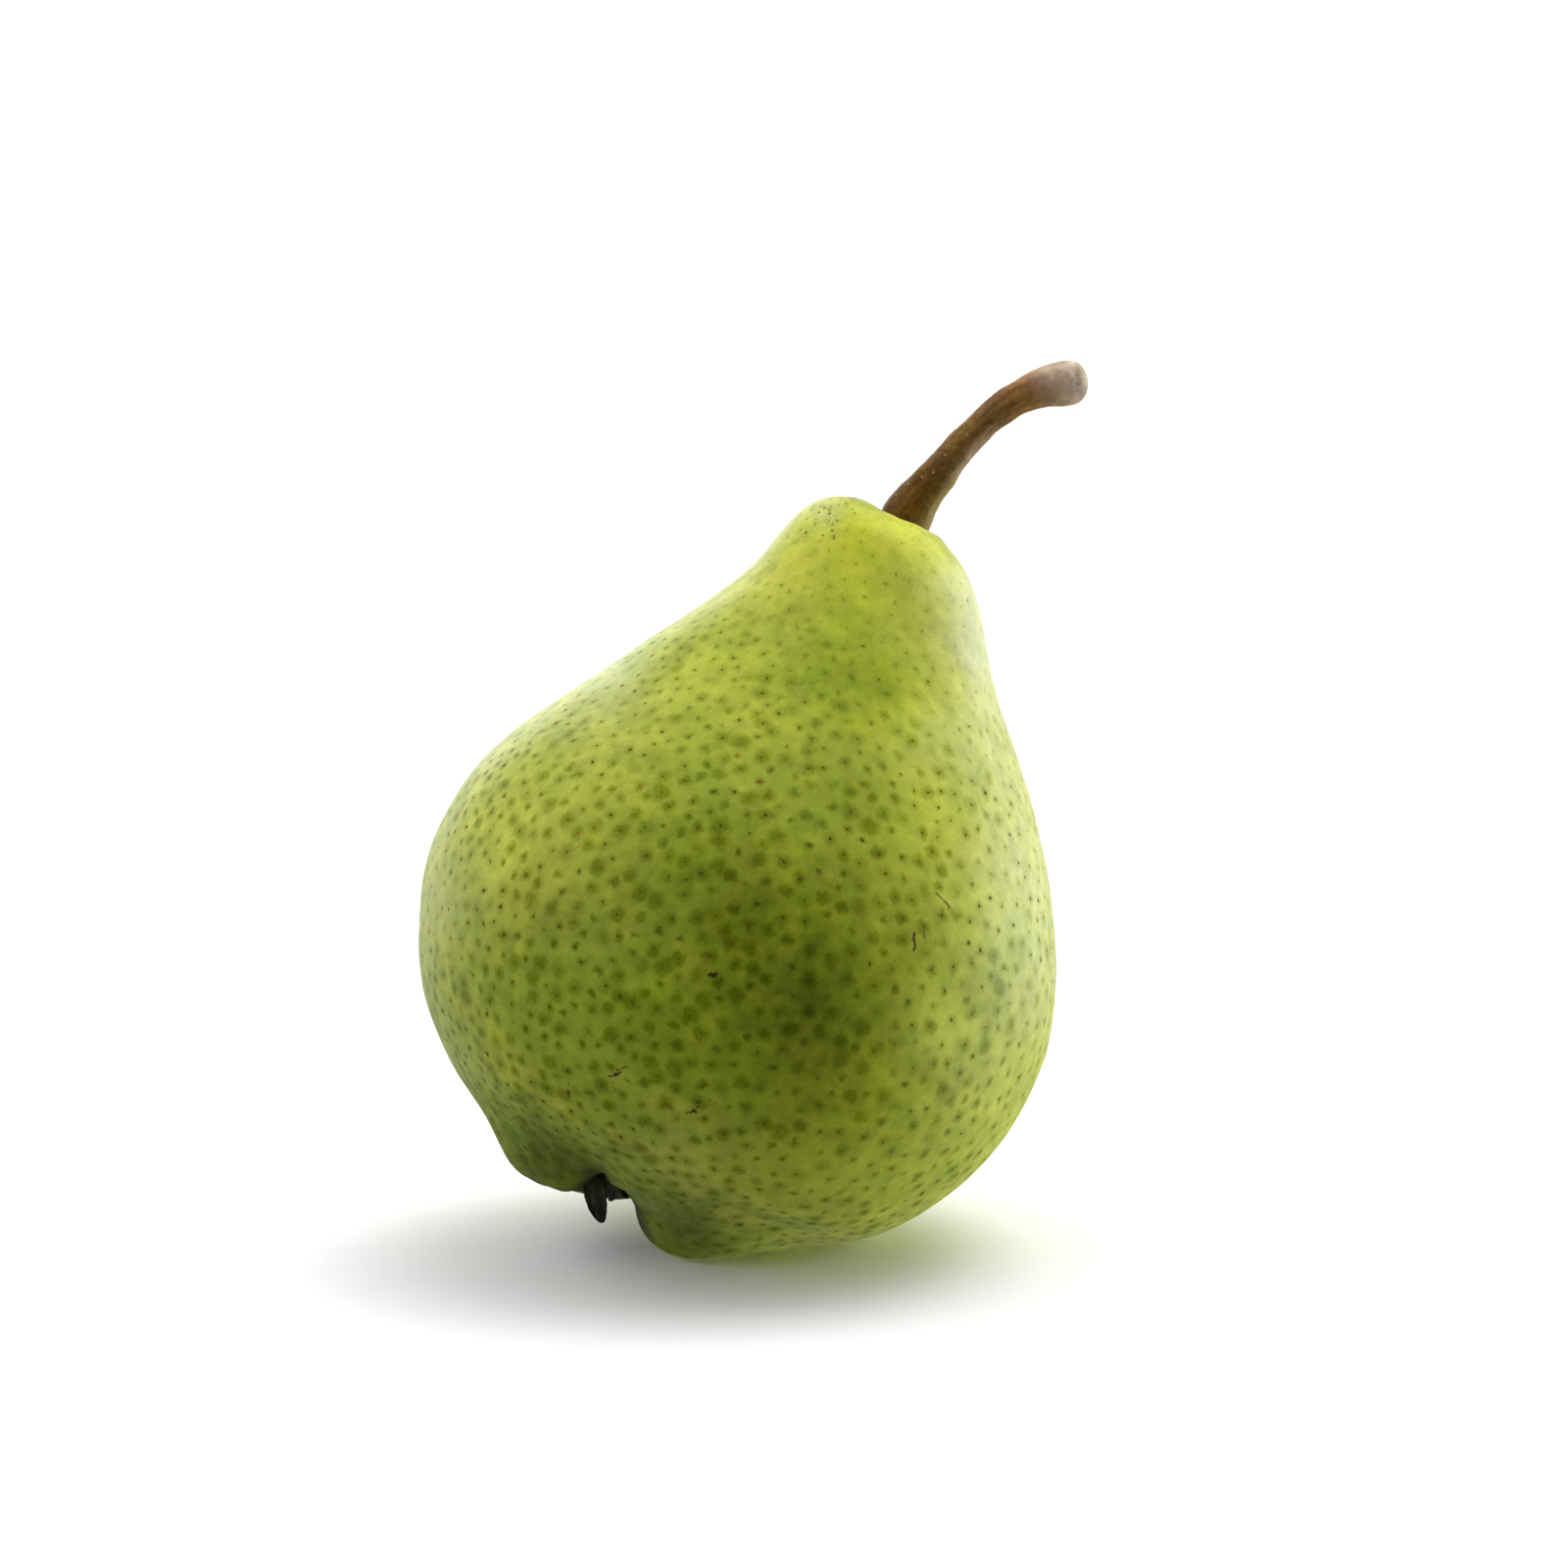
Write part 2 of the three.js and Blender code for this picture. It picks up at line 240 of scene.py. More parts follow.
def add_vector(o, name, values):
    a = o.data.attributes.new(name, "FLOAT_VECTOR", "POINT")
    a.data.foreach_set("vector", np.asarray(values, np.float32).ravel())


# ------------------------------------------------------------------
# The camera's frame: 1600 x 1600 pixels, 0.1152 mm a pixel in the plane of the pear's axis
# ------------------------------------------------------------------
PX = 0.1152
CALYX_PIXEL = np.array([615.0, 1215.0])
DIST = 2200.0
CAM_RIGHT = np.array([1.0, 0, 0])
CAM_FORWARD = np.array([0, math.cos(BACK), -math.sin(BACK)])
CAM_AIM = CALYX + CAM_RIGHT * (800 - CALYX_PIXEL[0]) * PX + UPR * (CALYX_PIXEL[1] - 800) * PX
CAM_AT = CAM_AIM - CAM_FORWARD * DIST


def to_pixel(p):
    """World mm to a place in the 1600 x 1600 frame."""
    d = p - CAM_AT
    k = DIST / PX / (d @ CAM_FORWARD)
    return 800 + (d @ CAM_RIGHT) * k, 800 - (d @ UPR) * k


# ------------------------------------------------------------------
# Camera
# ------------------------------------------------------------------
cam_data = bpy.data.cameras.new("camera")
cam_data.sensor_width = 36.0
cam_data.lens = 36.0 * DIST / (1600 * PX)
cam_data.clip_start = 0.01
cam_data.clip_end = 50
cam = bpy.data.objects.new("camera", cam_data)
cam.location = Vector((CAM_AT * MM).tolist())
cam.rotation_euler = (math.radians(90) - BACK, 0, 0)
bpy.context.scene.collection.objects.link(cam)
bpy.context.scene.camera = cam

# ------------------------------------------------------------------
# Fruit
# ------------------------------------------------------------------
COLS = 364
ROWS = 254


def fruit_rows():
    s = np.linspace(0.0, LAST, 2801)
    a = np.linspace(0, 2 * np.pi, 24, endpoint=False)
    p = plain_form(s[:, None] + 0 * a, a[None, :] + 0 * s[:, None])
    d = np.linalg.norm(np.diff(p, axis=0), axis=-1).mean(1)
    mid = (s[1:] + s[:-1]) / 2
    weight = 1 + 0.55 * np.exp(-(((mid - 5.5) / 3.0) ** 2)) + 0.8 * np.exp(-(((mid - 24.5) / 1.8) ** 2))
    c = np.concatenate([[0], np.cumsum(d * weight)])
    return np.interp(np.linspace(0, c[-1], ROWS + 2), c, s)


st_all = fruit_rows()
st_ring = st_all[1:-1]
ang = np.linspace(0, 2 * np.pi, COLS, endpoint=False)
ST = np.concatenate([[st_all[0]], np.repeat(st_ring, COLS), [st_all[-1]]])
AN = np.concatenate([[0], np.tile(ang, ROWS), [0]])

base_pts = plain_form(ST, AN)
base_nrm = form_normal(ST, AN)
height = swelling(ST, AN)

# Slow unevenness of the flesh, then finer, then the fine folds of the base.
edge = np.clip(np.minimum(ST, LAST - ST) / 2.0, 0, 1)
n_slow = perlin(base_pts, 15.0, 1)
n_mid = perlin(base_pts, 6.0, 2)
n_fine = perlin(base_pts, 2.4, 3)
height = height + edge * (0.26 * n_slow + 0.10 * n_mid + 0.028 * n_fine)
fold_in = np.exp(-(((ST - 6.6) / 2.2) ** 2))
polar = np.stack([np.cos(AN) * 9.0, np.sin(AN) * 9.0, ST * 0.55], -1)
height = height + fold_in * (0.20 * perlin(polar, 1.7, 5) + 0.09 * perlin(polar, 0.8, 6))
# The neck's top is puckered round the stalk.
top_in = np.exp(-(((ST - 23.8) / 1.3) ** 2))
height = height + top_in * 0.22 * perlin(np.stack([np.cos(AN) * 2.2, np.sin(AN) * 2.2, ST * 0.4], -1), 1.0, 9)

axis_pts = base_pts + base_nrm * height[:, None]
world = set_down(axis_pts)
# The flat spot it rests on, with a soft edge.
SOFT = 0.45
z = world[:, 2]
low = z < 3.0
z_soft = 0.5 * (z + np.sqrt(z * z + SOFT * SOFT)) - 0.02
world[:, 2] = np.where(low, z_soft * (1 - smoothstep(1.5, 3.0, z)) + z * smoothstep(1.5, 3.0, z), z)
world[:, 2] = np.maximum(world[:, 2], 0.0)
axis_pts = to_axis(world)

fruit = make_object("pear_fruit", world, grid_faces(ROWS, COLS))

# Where on the skin: how green, how russet and how near the base. Each is a smooth field over the skin.
U_, V_, W_ = axis_pts.T
PIX, PIY = to_pixel(world)
NEAR = smoothstep(-0.15, 0.15, -V_ / 30.0)


def blob(x, y, r):
    """A soft patch centred on a place in the frame, radius r in pixels, on the near side only."""
    return np.exp(-((PIX - x) ** 2 + (PIY - y) ** 2) / r**2) * NEAR


slow = perlin(axis_pts, 22.0, 21)
mid = perlin(axis_pts, 11.0, 22)
green = 0.42 + 0.30 * slow + 0.2 * mid - 0.25 * smoothstep(50, 80, W_) + 0.15 * smoothstep(30, 10, W_)
green += (0.45 * blob(860, 665, 70) + 0.25 * blob(760, 880, 130) + 0.25 * blob(640, 960, 90) + 0.2 * blob(690, 1040, 90)
          + 0.2 * blob(840, 800, 60) + 0.2 * blob(560, 1000, 70))
green -= (0.45 * blob(545, 880, 60) + 0.3 * blob(760, 620, 60) + 0.35 * blob(880, 560, 60) + 0.3 * blob(800, 760, 50)
          + 0.3 * blob(985, 850, 60) + 0.25 * blob(620, 790, 60) + 0.2 * blob(740, 690, 40) + 0.2 * blob(1000, 1130, 60))
green = np.clip(green, 0, 1)
base_zone = smoothstep(9.2, 6.2, ST)
russet = np.exp(-(((ST - 24.6) / 1.0) ** 2)) * 0.9 + 0.75 * blob(872, 506, 9) + 0.5 * blob(848, 512, 10) + 0.35 * np.exp(-(((ST - 1.5) / 2.2) ** 2))
# Painted shade: darker patches in the dim middle of the near side, lightened a little to their left.
mottle_and_painted_light = 0.62 * blob(750, 950, 85) + 0.88 * blob(835, 1050, 75) - 0.15 * blob(640, 980, 60) + 0.45 * blob(850, 960, 60)
# How much pale waxy bloom there is between the spots, partly painted: raised on the lit right side and edges as painted
# sheen, low in the middle of the near side as painted shade.
bloom_and_painted_light = 0.62 - 0.52 * blob(770, 960, 210) - 0.40 * blob(850, 1090, 150) - 0.10 * blob(640, 1080, 120) + 0.35 * blob(960, 1050, 50) + 0.45 * blob(690, 1185, 60)
bloom_and_painted_light -= 0.50 * blob(875, 540, 46) + 0.75 * blob(880, 700, 60) + 0.2 * blob(760, 700, 60) + 0.35 * blob(870, 625, 40)
bloom_and_painted_light += (0.9 * blob(1062, 860, 60) + 1.1 * blob(1000, 640, 46) + 0.7 * blob(1035, 740, 50) + 0.35 * blob(600, 720, 60)
          + 0.12 * perlin(axis_pts, 9.0, 23))
# The dry eye, dark inside the basin: partly its dry tissue, partly painted shade in the hollow; and painted shade as a
# smudge on the left lobe beside it and along the far lip.
eye_and_painted_shade = smoothstep(5.0, 3.7, ST + 0.35 * perlin(axis_pts, 1.6, 24)) + 0.85 * blob(606, 1203, 15)
eye_and_painted_shade = eye_and_painted_shade + smoothstep(5.6, 4.7, ST) * smoothstep(0.5, 3.0, V_) * np.exp(-(((U_ - 1.2) / 2.3) ** 2))
add_float(fruit, "bloom_and_painted_light", np.clip(bloom_and_painted_light, 0, 1))
# Painted sheen: whitish skin where it faces right, along the right side of the neck and the belly, and along the left
# shoulder's edge.
_g = world[1:-1].reshape(ROWS, COLS, 3)
_n = np.cross(np.roll(_g, -1, axis=1) - np.roll(_g, 1, axis=1), np.gradient(_g, axis=0))
_n /= np.maximum(np.linalg.norm(_n, axis=-1, keepdims=True), 1e-9)
if (_n * (_g - _g.mean(axis=(0, 1)))).sum() < 0:
    _n = -_n
FACES_RIGHT = np.concatenate([[0], _n[..., 0].ravel(), [0]])
painted_sheen_edge = smoothstep(0.66, 0.98, FACES_RIGHT)
YELLOWER = 0.8 * blob(880, 535, 55) + 0.5 * blob(800, 590, 45) + 0.35 * blob(660, 760, 80)
add_float(fruit, "yellower", np.clip(YELLOWER, 0, 1))
pale = (painted_sheen_edge * (0.42 + 0.40 * smoothstep(760, 690, PIY)) * smoothstep(1120, 980, PIY) * smoothstep(540, 600, PIY) + 0.35 * blob(968, 600, 26) + 0.45 * blob(990, 652, 30)
        + 0.12 * blob(1050, 890, 42) + 0.25 * blob(965, 755, 36) + 0.45 * blob(618, 684, 40) + 0.20 * blob(452, 920, 40)
        + 0.35 * blob(842, 520, 18))
add_float(fruit, "pale", np.clip(pale * (1 + 0.5 * perlin(axis_pts, 3.0, 25)), 0, 1))
add_float(fruit, "eye_and_painted_shade", np.clip(eye_and_painted_shade, 0, 1))
# Darker and paler clouds of the skin, partly mottling and partly painted light: painted shade under the base lobes and
# in the dim middle of the near side, painted highlight on the neck and the right side. Place, radius, amount.
for x, y, r, amount in [
    (558, 927, 34, 0.50), (642, 872, 26, 0.35), (762, 887, 30, 0.40), (855, 883, 36, 0.40), (920, 955, 30, 0.35),
    (1000, 1012, 30, 0.30), (958, 1100, 26, 0.30), (883, 667, 26, 0.30), (778, 713, 22, 0.20), (808, 1115, 34, 0.35),
    (562, 1192, 36, 0.95), (696, 1250, 44, 0.80), (640, 1170, 30, 0.45), (540, 1150, 26, 0.25),
    (900, 572, 50, -0.95), (850, 548, 26, -0.45), (962, 606, 30, -0.50), (708, 775, 30, -0.30), (940, 742, 28, -0.40),
    (945, 835, 42, -0.40), (517, 858, 30, -0.35), (558, 1037, 28, -0.40), (658, 1008, 30, -0.40), (583, 997, 26, -0.30),
    (717, 1050, 26, -0.30), (867, 1033, 32, -0.30), (870, 530, 40, 0.10), (812, 572, 26, -0.35), (872, 572, 22, -0.35), (895, 600, 16, -0.15), (770, 720, 50, -0.20),
    (962, 1048, 34, -0.85), (700, 1188, 30, -0.45), (700, 1262, 40, 0.45), (556, 1188, 34, 0.45), (830, 1045, 40, 0.10), (1000, 900, 36, -0.25),
]:
    mottle_and_painted_light = mottle_and_painted_light + amount * blob(x, y, r)
add_float(fruit, "mottle_and_painted_light", np.clip(mottle_and_painted_light, -1.2, 1.3))
add_float(fruit, "green", green)
add_float(fruit, "base_zone", base_zone)
add_float(fruit, "russet", russet)
add_vector(fruit, "around", np.stack([np.cos(AN) * 9.0, np.sin(AN) * 9.0, ST], -1))


# ------------------------------------------------------------------
# The skin's spots (lenticels), scattered over the whole fruit. They are shared out among layers in
# which no two stand close, and each vertex carries the middle and the make of its nearest spot in
# each layer, so the material draws every spot round and sharp at any distance.
# ------------------------------------------------------------------
GRID = world[1:-1].reshape(ROWS, COLS, 3)


def skin_points(count):
    """Random places on the skin, even by area: world mm, row, column."""
    nxt = np.roll(GRID, -1, axis=1)
    e1 = nxt[:-1] - GRID[:-1]
    e2 = GRID[1:] - GRID[:-1]
    area = np.linalg.norm(np.cross(e1, e2), axis=-1)
    p = (area / area.sum()).ravel()
    cell = rng.choice(p.size, size=count, p=p)
    r, c = np.divmod(cell, COLS)
    a, b = rng.random(count)[:, None], rng.random(count)[:, None]
    c2 = (c + 1) % COLS
    q = ((GRID[r, c] * (1 - a) + GRID[r, c2] * a) * (1 - b) + (GRID[r + 1, c] * (1 - a) + GRID[r + 1, c2] * a) * b)
    return q, r, c


def scatter(count, spacing):
    """Dart throwing: keeps places that stand at least their own spacing from all kept before."""
    q, r, c = skin_points(count)
    gap = spacing(q, r, c)
    cell = 3.2
    bins = {}
    kept = []
    for i in range(count):
        p = q[i]
        g = gap[i]
        k = (int(p[0] // cell), int(p[1] // cell), int(p[2] // cell))
        ok = True
        for dx in (-1, 0, 1):
            for dy in (-1, 0, 1):
                for dz in (-1, 0, 1):
                    for j in bins.get((k[0] + dx, k[1] + dy, k[2] + dz), ()):
                        o = q[j]
                        if (o[0] - p[0]) ** 2 + (o[1] - p[1]) ** 2 + (o[2] - p[2]) ** 2 < g * g:
                            ok = False
                            break
                    if not ok:
                        break
                if not ok:
                    break
            if not ok:
                break
        if ok:
            bins.setdefault(k, []).append(i)
            kept.append(i)
    return q[kept], r[kept], c[kept]


def spot_gap(q, r, c):
    w = to_axis(q)[:, 2]
    s_ = st_ring[r]
    # closer set on the shoulder and near the base, wider on the belly's right
    g = 1.95 + 0.25 * smoothstep(-5, 25, to_axis(q)[:, 0]) - 0.15 * smoothstep(48, 62, w) - 0.25 * smoothstep(12, 7, s_)
    return g * (0.88 + 0.24 * rng.random(len(q)))


spot_at, spot_r, spot_c = scatter(60000, spot_gap)
n_spots = len(spot_at)
spot_axis = to_axis(spot_at)
spot_px, spot_py = to_pixel(spot_at)
near = smoothstep(-0.1, 0.1, -spot_axis[:, 1] / 30.0)


def patch(x, y, r):
    return np.exp(-((spot_px - x) ** 2 + (spot_py - y) ** 2) / r**2) * near


su, sv, sw = spot_axis.T
s_st = st_ring[spot_r]
# Haloes: strong on the belly, faint on the neck, the far left and the shoulder.
strength = 0.62 * smoothstep(80, 50, sw) + 0.27
strength *= 1 - 0.15 * smoothstep(-4, -28, su) * smoothstep(30, 55, sw)
strength *= 1 - 0.45 * patch(455, 930, 60) - 0.35 * patch(640, 720, 90) - 0.3 * patch(1040, 880, 70)
strength += 0.22 * patch(700, 960, 190) + 0.12 * patch(640, 1060, 120)
strength *= 1 - 0.15 * smoothstep(8.0, 6.0, s_st) - 0.45 * smoothstep(4.8, 3.8, s_st)
strength *= 0.55 + 0.75 * rng.random(n_spots) ** 0.8
halo_r = (0.50 + 0.62 * rng.random(n_spots) ** 1.25) * (0.78 + 0.34 * np.clip(strength, 0, 1))
halo_r *= 1 - 0.2 * smoothstep(60, 80, sw)
core_r = 0.15 + 0.13 * rng.random(n_spots) ** 2
core_r *= 1 - 0.30 * smoothstep(58, 70, sw)
core = 0.35 + 0.65 * rng.random(n_spots)
core *= 1 - 0.5 * smoothstep(60, 72, sw) * rng.random(n_spots)
core += 0.15 * patch(700, 700, 170) + 0.15 * patch(990, 880, 120)
core *= 1 - 0.35 * patch(800, 1060, 130)
core[rng.random(n_spots) < 0.12] *= 0.2
core = np.clip(core, 0, 1)
core *= 1 - 0.5 * smoothstep(7.6, 5.8, s_st)
# Hue of the core: 0 dark olive, 0.5 brown, 1 orange red.
hue = np.clip(0.04 + 0.36 * rng.random(n_spots) + (rng.random(n_spots) < 0.22) * 0.30 + (rng.random(n_spots) < 0.07) * 0.4
              + 0.22 * patch(700, 740, 130) + 0.45 * patch(590, 810, 80) * rng.random(n_spots), 0, 1)
hue *= 1 - 0.75 * smoothstep(10.5, 8.5, s_st)
# Brown specks at the left of the neck's top.
top_left = patch(848, 522, 22)
core = np.maximum(core, 0.95 * (top_left > 0.3))
hue = np.where(top_left > 0.3, 0.35 + 0.4 * rng.random(n_spots), hue)
core_r = np.where(top_left > 0.3, core_r * 1.25, core_r)
# Small brown and orange specks crowded at the left of the neck's top, and a few down its left side.
for sx, sy, spread, many in [(866, 512, 9, 12), (851, 520, 11, 16), (845, 534, 9, 7), (832, 545, 14, 6)]:
    for _ in range(many):
        px, py = sx + rng.normal() * spread, sy + rng.normal() * spread * 0.55
        d2 = (PIX - px) ** 2 + (PIY - py) ** 2 + np.where(V_ > 0, 1e6, 0)
        if d2.min() > 6:
            continue
        spot_at = np.vstack([spot_at, world[int(d2.argmin())]])
        strength = np.append(strength, 0.12)
        halo_r = np.append(halo_r, 0.45)
        core_r = np.append(core_r, 0.10 + 0.13 * rng.random() ** 2)
        core = np.append(core, 0.65 + 0.35 * rng.random())
        hue = np.append(hue, 0.30 + 0.6 * rng.random())
n_spots = len(spot_at)
phase = rng.random(n_spots)

# Layers: no two spots of a layer within 3.9 mm.
LAYERS = 6
layer = np.full(n_spots, -1)
order = rng.permutation(n_spots)
cellsize = 3.9
bins = {}
for i in order:
    p = spot_at[i]
    k = tuple((p // cellsize).astype(int))
    used = [9.9] * LAYERS
    for dx in (-1, 0, 1):
        for dy in (-1, 0, 1):
            for dz in (-1, 0, 1):
                for j in bins.get((k[0] + dx, k[1] + dy, k[2] + dz), ()):
                    d = math.dist(spot_at[j], p)
                    if d < used[layer[j]]:
                        used[layer[j]] = d
    best = int(np.argmax(used))
    layer[i] = best
    bins.setdefault(k, []).append(i)

for g in range(LAYERS):
    ids = np.flatnonzero(layer == g)
    tree = kdtree.KDTree(len(ids))
    for j, i in enumerate(ids):
        tree.insert(spot_at[i], j)
    tree.balance()
    pick = np.array([ids[tree.find(p)[1]] for p in world.tolist()])
    # A vertex is inside its cell when all the vertices round it share its spot.
    q = pick[1:-1].reshape(ROWS, COLS)
    inner = np.ones((ROWS, COLS))
    for dr in (-1, 0, 1):
        for dc in (-1, 0, 1):
            other = np.roll(q, -dc, axis=1)
            other = np.vstack([other[:1], other, other[-1:]])[1 + dr : 1 + dr + ROWS]
            inner[other != q] = 0
    inner[0] = inner[-1] = 0
    add_vector(fruit, f"spot{g}_at", spot_at[pick])
    add_vector(fruit, f"spot{g}_halo", np.stack([halo_r[pick], strength[pick], phase[pick]], -1))
    add_vector(fruit, f"spot{g}_core", np.stack([core_r[pick], core[pick], hue[pick]], -1))
    add_float(fruit, f"spot{g}_in", np.concatenate([[0], inner.ravel(), [0]]))

# ------------------------------------------------------------------
# Bodies swept along a curve
# ------------------------------------------------------------------
def frames_along(path, side, n):
    k = np.concatenate([[0], np.cumsum(np.linalg.norm(np.diff(path, axis=0), axis=1))])
    f = [spline(k, path[:, j]) for j in range(3)]
    total = k[-1]

    def at(t):
        return np.stack([g(t) for g in f], -1)

    def frame_at(s):
        t = s * total
        e = total * 1e-3
        tan = at(np.minimum(t + e, total)) - at(np.maximum(t - e, 0))
        tan /= np.linalg.norm(tan, axis=-1, keepdims=True)
        nn = side - tan * (tan @ side)[..., None]
        nn /= np.linalg.norm(nn, axis=-1, keepdims=True)
        return at(t), tan, nn, np.cross(tan, nn)

    return frame_at, total


STALK = np.array([
    [0.00, 0.00, 84.05, 2.60],
    [0.00, 0.00, 86.40, 3.02],
    [0.45, 0.05, 89.60, 2.62],
    [1.22, 0.12, 92.60, 2.24],
    [2.25, 0.20, 96.60, 1.93],
    [3.45, 0.28, 100.00, 1.80],
    [5.11, 0.28, 103.51, 1.93],
    [7.57, 0.18, 106.55, 2.22],
    [10.20, 0.00, 108.71, 2.68],
    [10.82, -0.05, 109.08, 2.70],
])
END_CAP = 2.35
path = STALK[:, :3].copy()
way = path[-1] - path[-2]
path = np.vstack([path, path[-1] + way / np.linalg.norm(way) * END_CAP])
stalk_frame, stalk_total = frames_along(path, np.array([0.0, 1.0, 0.0]), 0)
lens = np.concatenate([[0], np.cumsum(np.linalg.norm(np.diff(path, axis=0), axis=1))])
stalk_radius = spline(lens[:-1], STALK[:, 3])
S_ROWS, S_COLS = 230, 84
body_len = lens[-2]
tip = np.sin(np.linspace(0, np.pi / 2, 26))[1:-1]
s_rows = np.concatenate([np.linspace(0.002, body_len / stalk_total, S_ROWS - len(tip) - 1),
                         (body_len + tip * END_CAP) / stalk_total, [0.9995]])
S_ROWS = len(s_rows)
sa = np.linspace(0, 2 * np.pi, S_COLS, endpoint=False)
SS = np.concatenate([[0.0], np.repeat(s_rows, S_COLS), [1.0]])
SA = np.concatenate([[0.0], np.tile(sa, S_ROWS), [0.0]])
pt, tan, nn, bb = stalk_frame(SS)
tlen = SS * stalk_total
rad = stalk_radius(np.minimum(tlen, body_len))
over = np.clip((tlen - body_len) / END_CAP, 0, 1)
rad = rad * np.sqrt(np.maximum(0, 1 - over**2.15))
rad[0] = rad[-1] = 0
around3 = np.stack([np.cos(SA) * 2.0, np.sin(SA) * 2.0, tlen * 0.16], -1)
ridge = perlin(around3, 0.75, 31) * 0.085 + perlin(around3, 0.3, 32) * 0.018
lump = perlin(np.stack([np.cos(SA) * 2.0, np.sin(SA) * 2.0, tlen], -1), 2.2, 33) * 0.13
fine = perlin(np.stack([np.cos(SA) * 2.0, np.sin(SA) * 2.0, tlen], -1), 0.6, 34) * 0.03
wob = (ridge + lump + fine) * np.clip(rad / 1.2, 0, 1)
rx = (rad + wob)
SP = pt + nn * (rx * np.cos(SA))[:, None] + bb * (rx * np.sin(SA))[:, None]
stalk = make_object("pear_stalk", set_down(SP), grid_faces(S_ROWS, S_COLS))
add_float(stalk, "along", tlen / stalk_total)
add_float(stalk, "end", over)
add_vector(stalk, "grain", np.stack([np.cos(SA) * 2.0, np.sin(SA) * 2.0, tlen], -1))
right_side = (SP[:, 0] - pt[:, 0]) / np.maximum(rad, 0.3)
add_float(stalk, "right_side", right_side)

# ------------------------------------------------------------------
# Sepals and dried flower
# ------------------------------------------------------------------
SEPALS = [
    ["sepal_1", 3.0, [(-1.62, -1.22, 1.95), (-1.35, -1.75, 0.90), (-0.45, -2.20, -0.90), (1.55, -2.55, -3.40)], (0.81, 0.0, 0.59)],
    ["sepal_2", 2.4, [(1.62, -0.42, 2.10), (1.98, -0.47, 1.58), (2.42, -0.54, 1.00), (2.98, -0.64, 0.36)], (0.72, 0.69, 0.0)],
    ["sepal_3", 2.3, [(1.12, 1.43, 2.25), (1.22, 1.62, 1.30), (1.22, 1.70, 0.30), (1.16, 1.66, -0.85)], (0.77, -0.64, 0.0)],
    ["sepal_4", 2.1, [(-0.78, 1.66, 2.15), (-0.90, 1.95, 1.40), (-0.95, 2.05, 0.60), (-1.00, 2.15, -0.40)], (0.91, 0.42, 0.0)],
    ["sepal_5", 2.1, [(-1.80, 0.20, 2.15), (-2.10, 0.20, 1.60), (-2.20, 0.20, 1.00), (-2.35, 0.20, 0.10)], (0.0, 1.0, 0.0)],
]
FLOOR_W = 3.3
sepal_objects = []
for k, (name, width, path_, side) in enumerate(SEPALS):
    pth = np.array(path_)
    # the root is carried on to the floor of the basin
    first = pth[0] + (pth[0] - pth[1]) * ((FLOOR_W - pth[0][2]) / (pth[0][2] - pth[1][2]))
    first[:2] = pth[0][:2] * 0.96
    own = np.linalg.norm(np.diff(pth, axis=0), axis=1).sum()
    pth = np.vstack([first, pth])
    fr, total = frames_along(pth, np.array(side), 0)
    R, C = 96, 56
    rows = np.concatenate([[0.004], np.linspace(0.02, 0.97, R - 3), [0.985, 0.996]])
    sc = np.linspace(0, 2 * np.pi, C, endpoint=False)
    s = np.concatenate([[0], np.repeat(rows, C), [1]])
    g = np.concatenate([[0], np.tile(sc, len(rows)), [0]])
    p, t, n_, b_ = fr(s)
    s_own = np.clip((s * total - (total - own)) / own, 0, 1)
    wide = np.minimum(1, 0.42 + 1.7 * s_own) * np.sqrt(np.maximum(0, 1 - s_own**2.2))
    aa = width / 2 * np.minimum(1, wide)
    cc = 0.23 * np.sqrt(np.maximum(0, 1 - s_own**4))
    cc = cc * (1 - 0.45 * s_own)
    aa[0] = aa[-1] = cc[0] = cc[-1] = 0
    x = aa * np.cos(g)
    sign = np.sign(np.cos(g))
    ragged = perlin(np.stack([sign * 3, s * total * 1.6, 0 * s + k * 5], -1), 1.0, 40 + k)
    ragged = ragged + 0.45 * perlin(np.stack([sign * 3, s * total * 4.5, 0 * s + k * 5], -1), 1.0, 60 + k)
    x = x * (1 + 0.10 * ragged)
    mid_ = np.cos(x / max(width, 0.1) * 2 * np.pi * 2.6)
    vein = 0.045 * mid_ + 0.07 * perlin(np.stack([x * 3, s * total, 0 * s + k], -1), 0.8, 50 + k)
    # the sides curl, more on one than on the other
    curl = (0.13 + 0.05 * np.sin(2.1 * s * total + k)) * x * np.abs(x) ** 0.9 * sign
    y = cc * np.sin(g) + curl + vein * np.clip(aa, 0, 1) + 0.12 * s * s * np.sin(3 * s + k)
    q = p + n_ * x[:, None] + b_ * y[:, None]
    o = make_object("pear_" + name, set_down(q), grid_faces(len(rows), C))
    add_float(o, "along", s_own)
    add_float(o, "rim", np.abs(x) / (width / 2))
    add_vector(o, "leaf", np.stack([x, s * total, y], -1))
    sepal_objects.append(o)

R, C = 40, 64
s = np.linspace(0.001, 0.999, R)
S2 = np.concatenate([[0], np.repeat(s, C), [1]])
A2 = np.concatenate([[0], np.tile(np.linspace(0, 2 * np.pi, C, endpoint=False), R), [0]])
# bottom pole is the outward side (lower w)
rr = 1.02 * np.sqrt(np.maximum(0, 1 - (1 - S2) ** 3)) * (1 - 0.18 * S2) * smoothstep(1.0, 0.985, S2)
bump = 1 + 0.10 * np.sin(A2 * 9 + 3 * S2) + 0.06 * np.sin(A2 * 17 + 1)
rr = rr * bump
ww = 1.15 + S2 * 1.8 + 0.16 * np.sin(A2 * 9) * (1 - S2)
disc = make_object("pear_dried_flower", set_down(np.stack([rr * np.cos(A2), rr * np.sin(A2), ww], -1)), grid_faces(R, C))


